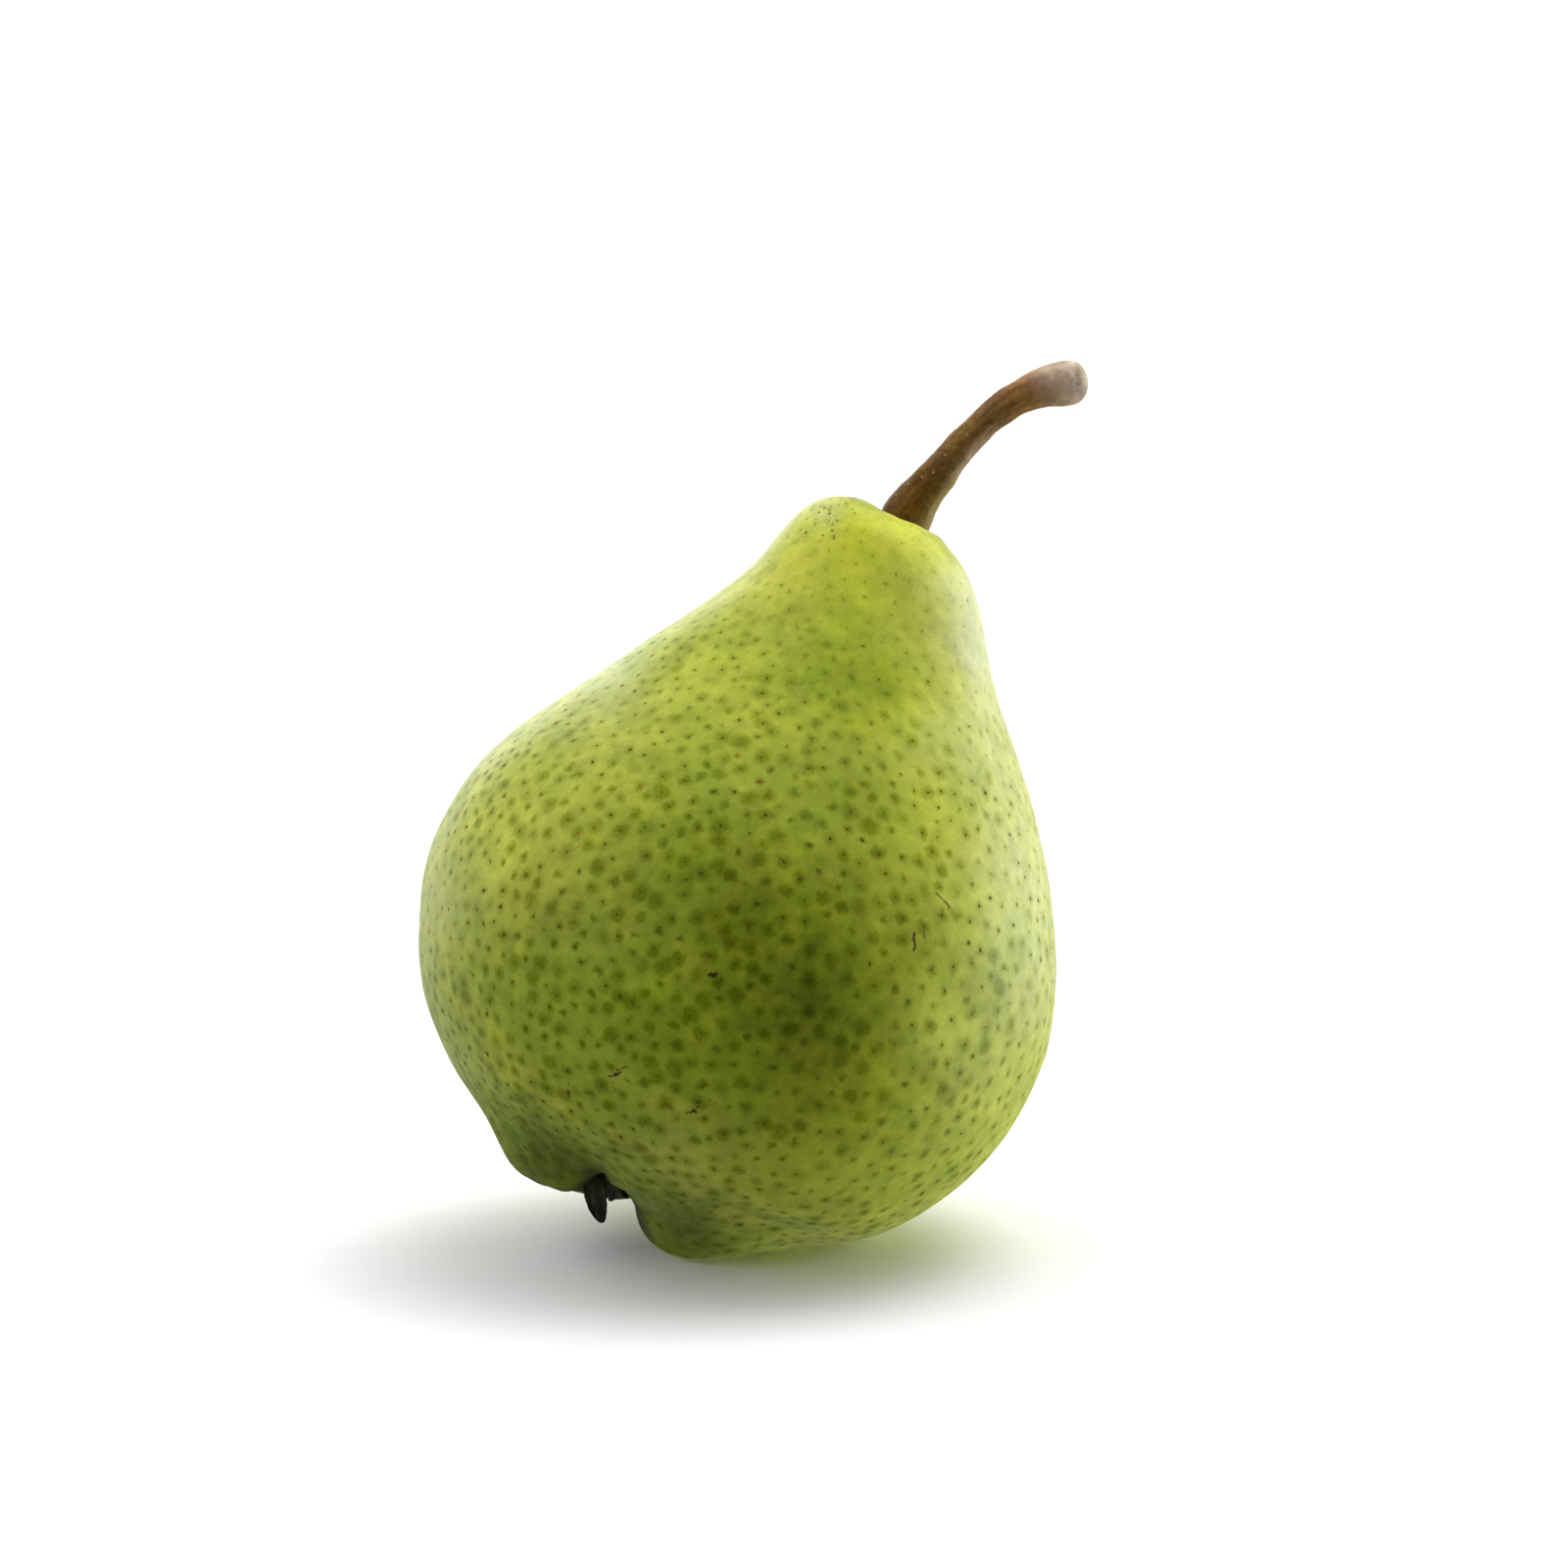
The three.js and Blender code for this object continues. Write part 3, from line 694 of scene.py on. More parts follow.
# ------------------------------------------------------------------
# Materials
# ------------------------------------------------------------------
def srgb(r, g, b):
    f = lambda c: (c / 255) / 12.92 if c / 255 <= 0.04045 else ((c / 255 + 0.055) / 1.055) ** 2.4
    return (f(r), f(g), f(b), 1.0)


class Nodes:
    """A small helper to write node trees as expressions."""

    def __init__(self, name):
        self.mat = bpy.data.materials.new(name)
        self.mat.use_nodes = True
        self.t = self.mat.node_tree
        self.t.nodes.clear()
        self.out = self.t.nodes.new("ShaderNodeOutputMaterial")
        self.bsdf = self.t.nodes.new("ShaderNodeBsdfPrincipled")
        self.t.links.new(self.bsdf.outputs[0], self.out.inputs["Surface"])

    def link(self, a, b):
        if hasattr(a, "links") or isinstance(a, bpy.types.NodeSocket):
            self.t.links.new(a, b)
        else:
            b.default_value = a

    def math(self, op, a, b=None, c=None, clamp=False):
        n = self.t.nodes.new("ShaderNodeMath")
        n.operation = op
        n.use_clamp = clamp
        for i, v in enumerate((a, b, c)):
            if v is not None:
                self.link(v, n.inputs[i])
        return n.outputs[0]

    def vmath(self, op, a, b=None, out=0):
        n = self.t.nodes.new("ShaderNodeVectorMath")
        n.operation = op
        self.link(a, n.inputs[0])
        if b is not None:
            if op == "SCALE":
                self.link(b, n.inputs["Scale"])
            else:
                self.link(b, n.inputs[1])
        return n.outputs["Value"] if op in ("DOT_PRODUCT", "LENGTH", "DISTANCE") else n.outputs["Vector"]

    def remap(self, v, a, b, c=0.0, d=1.0, smooth=True):
        n = self.t.nodes.new("ShaderNodeMapRange")
        n.interpolation_type = "SMOOTHSTEP" if smooth else "LINEAR"
        n.clamp = True
        self.link(v, n.inputs["Value"])
        for k, x in (("From Min", a), ("From Max", b), ("To Min", c), ("To Max", d)):
            self.link(x, n.inputs[k])
        return n.outputs["Result"]

    def noise(self, v, scale, detail=2.0, rough=0.5, distort=0.0, color=False):
        n = self.t.nodes.new("ShaderNodeTexNoise")
        self.link(v, n.inputs["Vector"])
        n.inputs["Scale"].default_value = scale
        n.inputs["Detail"].default_value = detail
        n.inputs["Roughness"].default_value = rough
        n.inputs["Distortion"].default_value = distort
        return n.outputs["Color" if color else "Fac"]

    def attr(self, name, vector=False):
        n = self.t.nodes.new("ShaderNodeAttribute")
        n.attribute_name = name
        return n.outputs["Vector" if vector else "Fac"]

    def mix(self, f, a, b, blend="MIX"):
        n = self.t.nodes.new("ShaderNodeMix")
        n.data_type = "RGBA"
        n.blend_type = blend
        n.clamp_factor = True
        self.link(f, n.inputs[0])
        self.link(a, n.inputs[6])
        self.link(b, n.inputs[7])
        return n.outputs[2]

    def object_mm(self):
        n = self.t.nodes.new("ShaderNodeTexCoord")
        return self.vmath("SCALE", n.outputs["Object"], 1000.0)

    def normal(self):
        return self.t.nodes.new("ShaderNodeNewGeometry").outputs["Normal"]

    def split(self, v):
        n = self.t.nodes.new("ShaderNodeSeparateXYZ")
        self.link(v, n.inputs[0])
        return n.outputs

    def bump(self, height, strength, distance, normal=None):
        n = self.t.nodes.new("ShaderNodeBump")
        n.inputs["Strength"].default_value = strength
        n.inputs["Distance"].default_value = distance
        self.link(height, n.inputs["Height"])
        if normal is not None:
            self.link(normal, n.inputs["Normal"])
        return n.outputs["Normal"]

    def spots(self, p, nrm, cell, randomness=0.9):
        """Spots scattered on the skin. Gives the distance to the nearest spot's foot, in mm, measured along
        the skin, how far that spot's seed is from the skin, and three random numbers for it."""
        n = self.t.nodes.new("ShaderNodeTexVoronoi")
        n.feature = "F1"
        n.inputs["Scale"].default_value = 1.0
        n.inputs["Randomness"].default_value = randomness
        q = self.vmath("SCALE", p, 1.0 / cell)
        self.link(q, n.inputs["Vector"])
        d = self.vmath("SCALE", self.vmath("SUBTRACT", q, n.outputs["Position"]), cell)
        up = self.vmath("DOT_PRODUCT", d, nrm)
        flat = self.vmath("SUBTRACT", d, self.vmath("SCALE", nrm, up))
        return self.vmath("LENGTH", flat), self.math("ABSOLUTE", up), self.split(n.outputs["Color"])

    def capsule(self, p, a, b):
        """Distance in mm from p to the segment a-b."""
        a, b = np.asarray(a, float), np.asarray(b, float)
        ba = b - a
        pa = self.vmath("SUBTRACT", p, tuple(a))
        h = self.math("DIVIDE", self.vmath("DOT_PRODUCT", pa, tuple(ba)), float(ba @ ba), clamp=True)
        n = self.t.nodes.new("ShaderNodeVectorMath")
        n.operation = "SCALE"
        n.inputs[0].default_value = tuple(ba)
        self.link(h, n.inputs["Scale"])
        return self.vmath("LENGTH", self.vmath("SUBTRACT", pa, n.outputs["Vector"]))


def skin_at(x, y):
    """The place on the skin (world mm) seen at a pixel of the frame."""
    d = (PIX - x) ** 2 + (PIY - y) ** 2 + np.where(V_ > 0, 1e6, 0)
    return world[int(d.argmin())]


# Healed scratches and rubs: ends in the frame's pixels, half width in mm, hue (0 dark brown, 1 orange), strength.
SCARS = [
    ((955, 911), (963, 920), 0.105, 0.30, 0.95),
    ((962, 919), (969, 927), 0.115, 0.20, 0.95),
    ((966, 924), (968, 931), 0.070, 0.60, 0.6),
    ((961, 927), (962, 933), 0.085, 0.55, 0.6),
    ((930, 953), (934, 968), 0.120, 0.15, 1.0),
    ((933, 966), (934, 972), 0.140, 0.05, 1.0),
    ((944, 953), (947, 961), 0.090, 0.20, 0.7),
    ((953, 958), (955, 966), 0.070, 0.45, 0.7),
    ((948, 975), (952, 979), 0.080, 0.35, 0.7),
    ((1010, 1018), (1009, 1040), 0.045, 0.65, 0.6),
    ((621, 1100), (631, 1095), 0.120, 0.05, 1.0),
    ((630, 1095), (641, 1089), 0.095, 0.20, 0.85),
    ((624, 1106), (628, 1112), 0.090, 0.15, 0.75),
    ((579, 1104), (581, 1110), 0.090, 0.20, 0.75),
    ((579, 1113), (582, 1118), 0.120, 0.15, 0.85),
    ((726, 994), (730, 997), 0.150, 0.05, 1.0),
    ((734, 996), (738, 997), 0.140, 0.10, 1.0),
    ((796, 932), (799, 943), 0.095, 0.30, 0.85),
    ((703, 1135), (710, 1136), 0.190, 0.05, 0.95),
    ((709, 1130), (711, 1132), 0.110, 0.20, 0.8),
    ((716, 1130), (722, 1128), 0.085, 0.65, 0.65),
    ((721, 1127), (731, 1125), 0.085, 0.85, 0.6),
    ((724, 1121), (727, 1122), 0.120, 0.15, 0.8),
    ((690, 1134), (692, 1134), 0.100, 0.10, 0.7),
    ((715, 1107), (719, 1108), 0.110, 0.35, 0.7),
    ((920, 548), (932, 549), 0.060, 0.85, 0.6),
    ((930, 548), (932, 556), 0.060, 0.80, 0.6),
    ((860, 505), (871, 505), 0.120, 0.30, 0.8),
    ((870, 505), (884, 510), 0.150, 0.15, 0.9),
    ((851, 507), (859, 508), 0.100, 0.70, 0.6),
]

# As with the spots, each vertex carries its nearest scar of each layer.
SCAR_LAYERS = 4
scar_a = np.array([skin_at(*row[0]) for row in SCARS])
scar_b = np.array([skin_at(*row[1]) for row in SCARS])
scar_make = np.array([[half, hue_, power] for _, _, half, hue_, power in SCARS])
scar_mid = (scar_a + scar_b) / 2
scar_layer = np.full(len(SCARS), -1)
for i in range(len(SCARS)):
    room = [min([math.dist(scar_mid[i], scar_mid[j]) for j in np.flatnonzero(scar_layer == g)] + [99.0]) for g in range(SCAR_LAYERS)]
    scar_layer[i] = int(np.argmax(room))
for g in range(SCAR_LAYERS):
    ids = np.flatnonzero(scar_layer == g)
    far = []
    for i in ids:
        ab = scar_b[i] - scar_a[i]
        t = np.clip(((world - scar_a[i]) @ ab) / max(ab @ ab, 1e-3), 0, 1)
        far.append(np.linalg.norm(world - scar_a[i] - t[:, None] * ab, axis=1))
    pick = ids[np.argmin(far, axis=0)]
    q = pick[1:-1].reshape(ROWS, COLS)
    inner = np.ones((ROWS, COLS))
    for dr in (-1, 0, 1):
        for dc in (-1, 0, 1):
            other = np.roll(q, -dc, axis=1)
            other = np.vstack([other[:1], other, other[-1:]])[1 + dr : 1 + dr + ROWS]
            inner[other != q] = 0
    add_vector(fruit, f"scar{g}_from", scar_a[pick])
    add_vector(fruit, f"scar{g}_way", (scar_b - scar_a)[pick])
    add_vector(fruit, f"scar{g}_make", scar_make[pick])
    add_float(fruit, f"scar{g}_in", np.concatenate([[0], inner.ravel(), [0]]))


def skin_material():
    m = Nodes("pear_skin")
    P = m.object_mm()
    green_a, base_a, russet_a = (m.attr(k) for k in ("green", "base_zone", "russet"))

    wob = m.vmath("SUBTRACT", m.noise(P, 0.9, 3.0, 0.6, color=True), (0.5, 0.5, 0.5))
    Pw = m.vmath("ADD", P, m.vmath("SCALE", wob, 1.6))

    big = m.noise(P, 0.085, 3.0, 0.55)
    mid = m.noise(P, 0.24, 3.0, 0.55)
    small = m.noise(P, 0.75, 2.0, 0.5)
    greenness = m.math("ADD", m.math("ADD", green_a, m.math("MULTIPLY", m.math("SUBTRACT", big, 0.5), 0.8)),
                       m.math("MULTIPLY", m.math("SUBTRACT", mid, 0.5), 1.5))
    greenness = m.math("ADD", greenness, m.math("MULTIPLY", m.math("SUBTRACT", small, 0.5), 0.5), clamp=True)
    # Waxy bloom and painted sheen: paler, bluer colours where the field is high, darker where it holds painted shade.
    bloom_light_a = m.attr("bloom_and_painted_light")
    yellow = m.mix(bloom_light_a, (0.385, 0.425, 0.024, 1), (0.440, 0.450, 0.082, 1))
    green = m.mix(bloom_light_a, (0.218, 0.300, 0.014, 1), (0.262, 0.318, 0.045, 1))
    col = m.mix(greenness, yellow, green)
    col = m.mix(1.0, col, m.mix(m.attr("yellower"), (1, 1, 1, 1), (1.0, 0.955, 0.80, 1)), "MULTIPLY")
    # Painted sheen: whitish colour where the pale mask lies.
    col = m.mix(m.attr("pale"), col, (0.470, 0.495, 0.235, 1))

    # The skin is darkened and lightened by mottling and by the painted shade and painted highlight of the clouds field.
    cloud = m.math("ADD", m.math("MULTIPLY", m.math("SUBTRACT", m.noise(P, 0.42, 3.0, 0.6), 0.5), 0.75),
                   m.math("MULTIPLY", m.math("SUBTRACT", m.noise(P, 0.13, 2.0, 0.5), 0.5), 0.35))
    depth = m.math("SUBTRACT", m.math("ADD", 1.0, cloud), m.math("MULTIPLY", m.attr("mottle_and_painted_light"), 0.42))
    fleck = m.noise(P, 2.3, 3.0, 0.65)
    depth = m.math("MULTIPLY", depth, m.math("MULTIPLY_ADD", fleck, 0.34, 0.83))
    col = m.vmath("SCALE", col, depth)

    # Spots, layer by layer: a soft green halo under the skin and a small corky core.
    clear, dark, warm = None, None, None
    for g in range(LAYERS):
        at, halo, core_ = (m.attr(f"spot{g}_{k}", True) for k in ("at", "halo", "core"))
        inside = m.remap(m.attr(f"spot{g}_in"), 0.0, 0.6)
        hr, hs, ph = m.split(halo)
        cr, cs, hu = m.split(core_)
        dw = m.vmath("DISTANCE", Pw, at)
        h = m.remap(m.math("DIVIDE", dw, hr), 1.42, 0.20)
        h = m.math("MULTIPLY", m.math("MULTIPLY", h, hs), inside, clamp=True)
        inv = m.math("SUBTRACT", 1.0, h)
        clear = inv if clear is None else m.math("MULTIPLY", clear, inv)
        d = m.vmath("DISTANCE", m.vmath("ADD", P, m.vmath("SCALE", wob, 0.35)), at)
        c = m.math("MULTIPLY", m.remap(m.math("DIVIDE", d, cr), 1.45, 0.35), inside)
        cc = m.math("MULTIPLY", c, cs)
        dark = cc if dark is None else m.math("MAXIMUM", dark, cc)
        wc = m.math("MULTIPLY", cc, hu)
        warm = wc if warm is None else m.math("MAXIMUM", warm, wc)
    halo_all = m.math("SUBTRACT", 1.0, clear)
    tex = m.math("MULTIPLY_ADD", m.noise(P, 1.6, 3.0, 0.65), 1.3, 0.33)
    halo_all = m.math("MULTIPLY", halo_all, tex, clamp=True)
    # Haloes fade under the painted sheen.
    halo_all = m.math("MULTIPLY", halo_all, m.math("MULTIPLY_ADD", m.attr("pale"), -0.6, 1.0))
    shade = m.mix(halo_all, (1, 1, 1, 1), (0.54, 0.575, 0.10, 1))
    col = m.mix(1.0, col, shade, "MULTIPLY")
    hue = m.math("DIVIDE", warm, m.math("MAXIMUM", dark, 0.001))
    core_col = m.mix(m.remap(hue, 0.0, 0.5, smooth=False), (0.030, 0.032, 0.005, 1), (0.085, 0.044, 0.006, 1))
    core_col = m.mix(m.remap(hue, 0.5, 1.0, smooth=False), core_col, (0.300, 0.100, 0.012, 1))
    col = m.mix(dark, col, core_col)

    # Base: smoother, greyer green with fine streaks round the calyx, and darker towards the bottom, partly painted
    # shade under the fruit.
    ring = m.attr("around", True)
    streak = m.noise(m.vmath("MULTIPLY", ring, (1.0, 1.0, 0.25)), 2.2, 3.0, 0.6)
    tone = m.mix(base_a, (1, 1, 1, 1), (0.66, 0.72, 0.62, 1))
    col = m.mix(1.0, col, tone, "MULTIPLY")
    base_col = m.mix(m.remap(streak, 0.35, 0.7), (0.100, 0.132, 0.014, 1), (0.158, 0.192, 0.030, 1))
    col = m.mix(m.math("MULTIPLY", base_a, 0.24), col, base_col)
    crumb = m.math("MULTIPLY_ADD", m.noise(P, 3.2, 3.0, 0.7), 0.9, 0.55)
    col = m.vmath("SCALE", col, m.math("MULTIPLY_ADD", m.math("SUBTRACT", crumb, 1.0), base_a, 1.0))

    # Russet round the stalk and in the basin.
    rus_n = m.noise(P, 1.6, 2.0, 0.65)
    rus = m.remap(m.math("ADD", russet_a, m.math("MULTIPLY", m.math("SUBTRACT", rus_n, 0.5), 1.6)), 0.55, 0.95)
    col = m.mix(m.math("MULTIPLY", rus, 0.8), col, (0.20, 0.125, 0.030, 1))

    # The eye's dark brown, with the painted shade in the basin's hollow, on the left lobe beside it and along the far
    # lip.
    eye_shade_a = m.attr("eye_and_painted_shade")
    eye_n = m.noise(P, 2.4, 2.0, 0.6)
    col = m.mix(m.math("MULTIPLY", m.math("MULTIPLY", eye_shade_a, m.math("MULTIPLY_ADD", eye_n, 0.5, 0.75)), 0.93, clamp=True), col,
                m.mix(eye_n, (0.012, 0.009, 0.004, 1), (0.040, 0.030, 0.012, 1)))

    # Scars.
    jag = m.vmath("ADD", P, m.vmath("SCALE", wob, 0.85))
    thick = m.remap(m.noise(P, 1.9, 2.0, 0.6), 0.36, 0.64, 0.35, 1.45)
    scar_d, scar_o = None, None
    for g in range(SCAR_LAYERS):
        a_, ab = m.attr(f"scar{g}_from", True), m.attr(f"scar{g}_way", True)
        half, hue_, power = m.split(m.attr(f"scar{g}_make", True))
        inside = m.remap(m.attr(f"scar{g}_in"), 0.0, 0.6)
        ap = m.vmath("SUBTRACT", jag, a_)
        t = m.math("DIVIDE", m.vmath("DOT_PRODUCT", ap, ab), m.math("MAXIMUM", m.vmath("DOT_PRODUCT", ab, ab), 0.001), clamp=True)
        d = m.math("DIVIDE", m.vmath("LENGTH", m.vmath("SUBTRACT", ap, m.vmath("SCALE", ab, t))), thick)
        k = m.remap(m.math("DIVIDE", d, half), 2.3, 0.6)
        k = m.math("MULTIPLY", m.math("MULTIPLY", k, power), inside)
        scar_d = k if scar_d is None else m.math("MAXIMUM", scar_d, k)
        o = m.math("MULTIPLY", k, hue_)
        scar_o = o if scar_o is None else m.math("MAXIMUM", scar_o, o)
    scar_h = m.math("DIVIDE", scar_o, m.math("MAXIMUM", scar_d, 0.001))
    scar_col = m.mix(scar_h, (0.038, 0.022, 0.009, 1), (0.31, 0.15, 0.016, 1))
    col = m.mix(scar_d, col, scar_col)

    m.link(col, m.bsdf.inputs["Base Color"])
    rough = m.math("ADD", m.math("MULTIPLY_ADD", small, 0.16, 0.35), m.math("MAXIMUM", m.math("MULTIPLY", m.math("MAXIMUM", dark, rus), 0.4), m.math("MULTIPLY", base_a, 0.42)))
    m.link(rough, m.bsdf.inputs["Roughness"])
    peel = m.noise(P, 1.1, 2.0, 0.5)
    h = m.math("MULTIPLY", peel, 0.032)
    m.link(m.bump(h, 1.0, 0.001), m.bsdf.inputs["Normal"])
    m.bsdf.inputs["IOR"].default_value = 1.45
    m.bsdf.inputs["Specular IOR Level"].default_value = 0.07
    m.bsdf.inputs["Sheen Weight"].default_value = 0.03
    m.bsdf.inputs["Sheen Roughness"].default_value = 0.4
    m.bsdf.inputs["Subsurface Weight"].default_value = 0.08
    m.bsdf.inputs["Subsurface Radius"].default_value = (1.0, 0.9, 0.25)
    m.bsdf.inputs["Subsurface Scale"].default_value = 0.0015
    return m.mat


def stalk_material():
    m = Nodes("pear_stalk_bark")
    G = m.attr("grain", True)
    P = m.object_mm()
    along = m.attr("along")
    side = m.attr("right_side")
    long_g = m.noise(m.vmath("MULTIPLY", G, (1, 1, 0.16)), 1.5, 3.0, 0.5)
    blotch = m.noise(P, 0.45, 3.0, 0.6)
    fleck = m.noise(P, 1.7, 3.0, 0.6)
    grain = m.math("ADD", m.math("MULTIPLY", long_g, 0.45), m.math("MULTIPLY", fleck, 0.55))
    low = m.mix(m.remap(grain, 0.35, 0.65), (0.092, 0.038, 0.003, 1), (0.160, 0.078, 0.008, 1))
    middle = m.mix(m.remap(grain, 0.35, 0.65), (0.135, 0.066, 0.013, 1), (0.225, 0.125, 0.035, 1))
    high = m.mix(m.remap(grain, 0.35, 0.65), (0.195, 0.088, 0.020, 1), (0.300, 0.160, 0.050, 1))
    brown = m.mix(m.remap(along, 0.22, 0.50), low, middle)
    brown = m.mix(m.remap(along, 0.55, 0.75), brown, high)
    # painted light: the side turned to the light is painted greener below and paler above
    olive = m.mix(m.remap(grain, 0.35, 0.65), (0.160, 0.115, 0.010, 1), (0.260, 0.200, 0.026, 1))
    tan_ = m.mix(m.remap(grain, 0.35, 0.65), (0.215, 0.150, 0.070, 1), (0.320, 0.235, 0.130, 1))
    pale = m.mix(m.remap(along, 0.20, 0.45), olive, tan_)
    g = m.math("MULTIPLY", m.remap(side, 0.0, 0.85), m.remap(along, 0.72, 0.45), clamp=True)
    g = m.math("MULTIPLY", g, m.math("MULTIPLY_ADD", blotch, 1.1, 0.35), clamp=True)
    col = m.mix(g, brown, pale)
    grey = m.mix(m.remap(blotch, 0.35, 0.65), (0.620, 0.450, 0.330, 1), (0.780, 0.650, 0.520, 1))
    col = m.mix(m.remap(along, 0.74, 0.97), col, grey)
    # the cut end, darker, with a thin rim where it begins
    end = m.math("ADD", m.attr("end"), m.math("MULTIPLY", m.math("SUBTRACT", fleck, 0.5), 0.16))
    col = m.mix(m.math("MULTIPLY", m.remap(end, 0.25, 0.90), 0.8), col, m.mix(m.remap(blotch, 0.35, 0.65), (0.200, 0.185, 0.110, 1), (0.300, 0.255, 0.170, 1)))
    rim_line = m.math("MULTIPLY", m.remap(end, 0.36, 0.58), m.remap(end, 0.86, 0.64))
    col = m.mix(m.math("MULTIPLY", rim_line, m.math("MULTIPLY_ADD", blotch, 1.2, -0.25, clamp=True)), col, (0.110, 0.075, 0.050, 1))
    # darker mottles
    mot = m.remap(m.noise(P, 0.8, 3.0, 0.6), 0.58, 0.72)
    col = m.mix(m.math("MULTIPLY", mot, 0.45), col, (0.062, 0.030, 0.008, 1))
    tint = m.remap(m.noise(P, 0.28, 2.0, 0.5), 0.35, 0.65)
    col = m.mix(1.0, col, m.mix(tint, (0.80, 0.78, 0.76, 1), (1.18, 1.15, 1.08, 1)), "MULTIPLY")
    dS, upS, rS = m.spots(P, m.normal(), 1.35)
    speck = m.math("MULTIPLY", m.remap(dS, m.math("MULTIPLY_ADD", rS[1], 0.16, 0.08), 0.04), m.math("MULTIPLY", m.remap(rS[0], 0.78, 0.84), m.remap(upS, 0.5, 0.8, 1.0, 0.0)))
    col = m.mix(m.math("MULTIPLY", speck, 0.75), col, (0.42, 0.33, 0.20, 1))
    m.link(col, m.bsdf.inputs["Base Color"])
    m.link(m.math("MULTIPLY_ADD", blotch, 0.25, 0.42), m.bsdf.inputs["Roughness"])
    h = m.math("ADD", m.math("MULTIPLY", long_g, 0.05), m.math("MULTIPLY", fleck, 0.05))
    h = m.math("ADD", h, m.math("MULTIPLY", speck, 0.03))
    m.link(m.bump(h, 1.0, 0.001), m.bsdf.inputs["Normal"])
    m.bsdf.inputs["IOR"].default_value = 1.45
    m.bsdf.inputs["Specular IOR Level"].default_value = 0.12
    return m.mat


def leaf_material():
    m = Nodes("pear_sepal_leaf")
    L = m.attr("leaf", True)
    along = m.attr("along")
    n1 = m.noise(m.vmath("MULTIPLY", L, (2.2, 0.35, 1)), 1.6, 3.0, 0.6)
    col = m.mix(m.remap(n1, 0.3, 0.7), (0.040, 0.038, 0.011, 1), (0.105, 0.098, 0.030, 1))
    ragged = m.math("ADD", m.attr("rim"), m.math("MULTIPLY", m.math("SUBTRACT", m.noise(L, 1.8, 3.0, 0.6), 0.5), 0.5))
    col = m.mix(m.remap(ragged, 0.55, 0.92), col, (0.007, 0.006, 0.004, 1))
    col = m.mix(m.remap(m.math("ADD", along, m.math("MULTIPLY", m.math("SUBTRACT", n1, 0.5), 0.3)), 0.35, 0.8), col, (0.008, 0.006, 0.004, 1))
    m.link(col, m.bsdf.inputs["Base Color"])
    m.bsdf.inputs["Roughness"].default_value = 0.55
    m.bsdf.inputs["Specular IOR Level"].default_value = 0.3
    m.link(m.bump(m.math("MULTIPLY", n1, 0.12), 1.0, 0.001), m.bsdf.inputs["Normal"])
    return m.mat


def flower_material():
    m = Nodes("pear_dried_flower")
    P = m.object_mm()
    n1 = m.noise(P, 3.0, 4.0, 0.65)
    m.link(m.mix(m.remap(n1, 0.3, 0.7), (0.018, 0.011, 0.006, 1), (0.085, 0.052, 0.026, 1)), m.bsdf.inputs["Base Color"])
    m.bsdf.inputs["Roughness"].default_value = 0.85
    m.link(m.bump(m.math("MULTIPLY", n1, 0.25), 1.0, 0.001), m.bsdf.inputs["Normal"])
    return m.mat


fruit.data.materials.append(skin_material())
stalk.data.materials.append(stalk_material())
leaf = leaf_material()
for o in sepal_objects:
    o.data.materials.append(leaf)
disc.data.materials.append(flower_material())

# ------------------------------------------------------------------
# Rides, replacements
# ------------------------------------------------------------------
for o, node, slot in ([(fruit, "fruit_body", "skin"), (stalk, "stem", "stalk"), (disc, "calyx_disc", "dried_flower")]
                      + [(o, s[0], "sepal") for o, s in zip(sepal_objects, SEPALS)]):
    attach(o, "root")
    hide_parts(node)

# ------------------------------------------------------------------
# Floor, light
# ------------------------------------------------------------------
# The floor sweeps up at its rim into a wall all round, so it has no horizon line.
sweep = [(r, 0.0) for r in np.linspace(0.3, 3.6, 8)]
sweep += [(3.6 + 2.4 * math.sin(t), 2.4 - 2.4 * math.cos(t)) for t in np.linspace(0, math.pi / 2, 14)[1:]]
sweep += [(6.0, h) for h in (3.4, 5.0, 7.0)]
FLOOR_N = 96
turn_f = np.linspace(0, 2 * np.pi, FLOOR_N, endpoint=False)
fv = [(0.0, 0.0, 0.0)] + [(r * math.cos(t), r * math.sin(t), h) for r, h in sweep for t in turn_f]
ff = [(0, 1 + i, 1 + (i + 1) % FLOOR_N) for i in range(FLOOR_N)]
for k in range(len(sweep) - 1):
    for i in range(FLOOR_N):
        a, b = 1 + k * FLOOR_N + i, 1 + k * FLOOR_N + (i + 1) % FLOOR_N
        ff.append((a, a + FLOOR_N, b + FLOOR_N, b))
floor_mesh = bpy.data.meshes.new("floor")
floor_mesh.from_pydata(fv, [], ff)
floor_mesh.update()
for poly in floor_mesh.polygons:
    poly.use_smooth = True
floor = bpy.data.objects.new("floor", floor_mesh)
bpy.context.collection.objects.link(floor)
fm = bpy.data.materials.new("floor_pale")
fm.use_nodes = True
fb = fm.node_tree.nodes["Principled BSDF"]
fb.inputs["Base Color"].default_value = (0.88, 0.88, 0.88, 1)
fb.inputs["Roughness"].default_value = 0.95
fb.inputs["Specular IOR Level"].default_value = 0.0
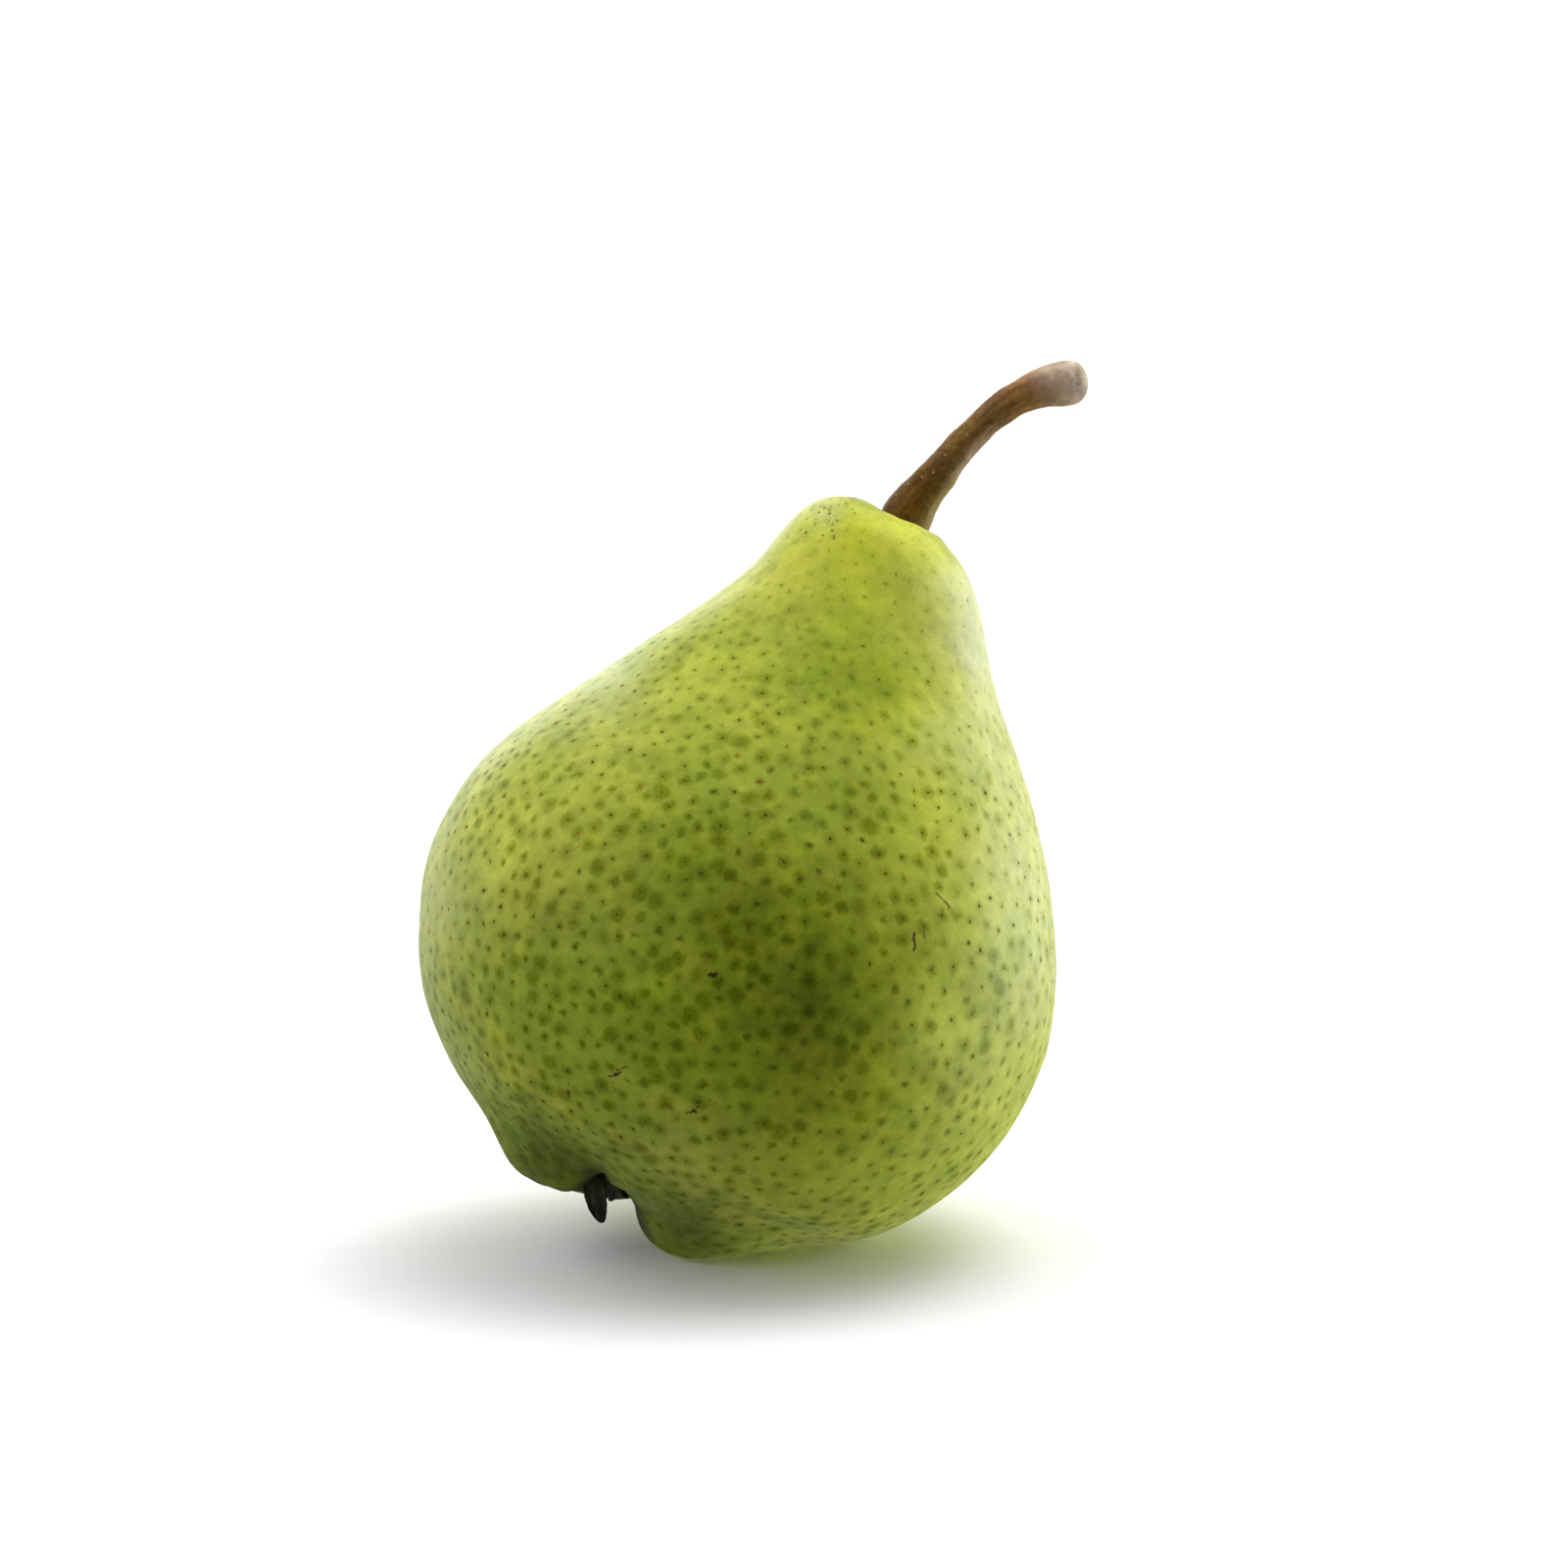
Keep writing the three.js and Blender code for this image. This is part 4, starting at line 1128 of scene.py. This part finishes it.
floor.data.materials.append(fm)
# The light all comes from the surroundings, so the floor takes shadow but gives no light back.
floor.visible_diffuse = False
floor.visible_glossy = False
floor.visible_shadow = False

# The studio: broad soft boxes left and right, a little behind, and a dim front. Azimuth 0 is the
# front (-Y), 90 the right (+X); each lobe is azimuth, elevation, tightness and radiance.
LOBES = [
    (105, -10, 12.0, 7.6),
    (100, -38, 12.0, 0.35),
    (150, 2, 12.0, 0.75),
    (125, 5, 30.0, 4.4),
    (135, 65, 12.0, 6.2),
    (-110, 50, 12.0, 2.1),
    (-60, 25, 12.0, 2.5),
    (-130, 0, 12.0, 2.2),
    (-160, 8, 8.0, 1.5),
    (-165, 12, 40.0, 3.5),
    (20, 10, 6.0, 0.12),
    (-30, -60, 3.0, 0.7),
]
world_ = bpy.data.worlds.new("studio")
bpy.context.scene.world = world_
world_.use_nodes = True
wt = world_.node_tree
bg = wt.nodes["Background"]
tc = wt.nodes.new("ShaderNodeTexCoord")
total = None


def wmath(op, a, b):
    n = wt.nodes.new("ShaderNodeMath")
    n.operation = op
    for i, v in enumerate((a, b)):
        if isinstance(v, bpy.types.NodeSocket):
            wt.links.new(v, n.inputs[i])
        else:
            n.inputs[i].default_value = v
    return n.outputs[0]


total = 0.003
for az, el, kap, amp in LOBES:
    az, el = math.radians(az), math.radians(el)
    dot = wt.nodes.new("ShaderNodeVectorMath")
    dot.operation = "DOT_PRODUCT"
    wt.links.new(tc.outputs["Generated"], dot.inputs[0])
    dot.inputs[1].default_value = (math.sin(az) * math.cos(el), -math.cos(az) * math.cos(el), math.sin(el))
    e = wmath("EXPONENT", wmath("MULTIPLY", wmath("SUBTRACT", dot.outputs["Value"], 1.0), kap), 0.0)
    total = wmath("ADD", wmath("MULTIPLY", e, amp), total)
wt.links.new(total, bg.inputs["Strength"])
bg.inputs["Color"].default_value = (0.97, 0.985, 1.0, 1)

vs = bpy.context.scene.view_settings
vs.view_transform = "Standard"
vs.look = "None"
vs.exposure = 0.0
vs.gamma = 1.0
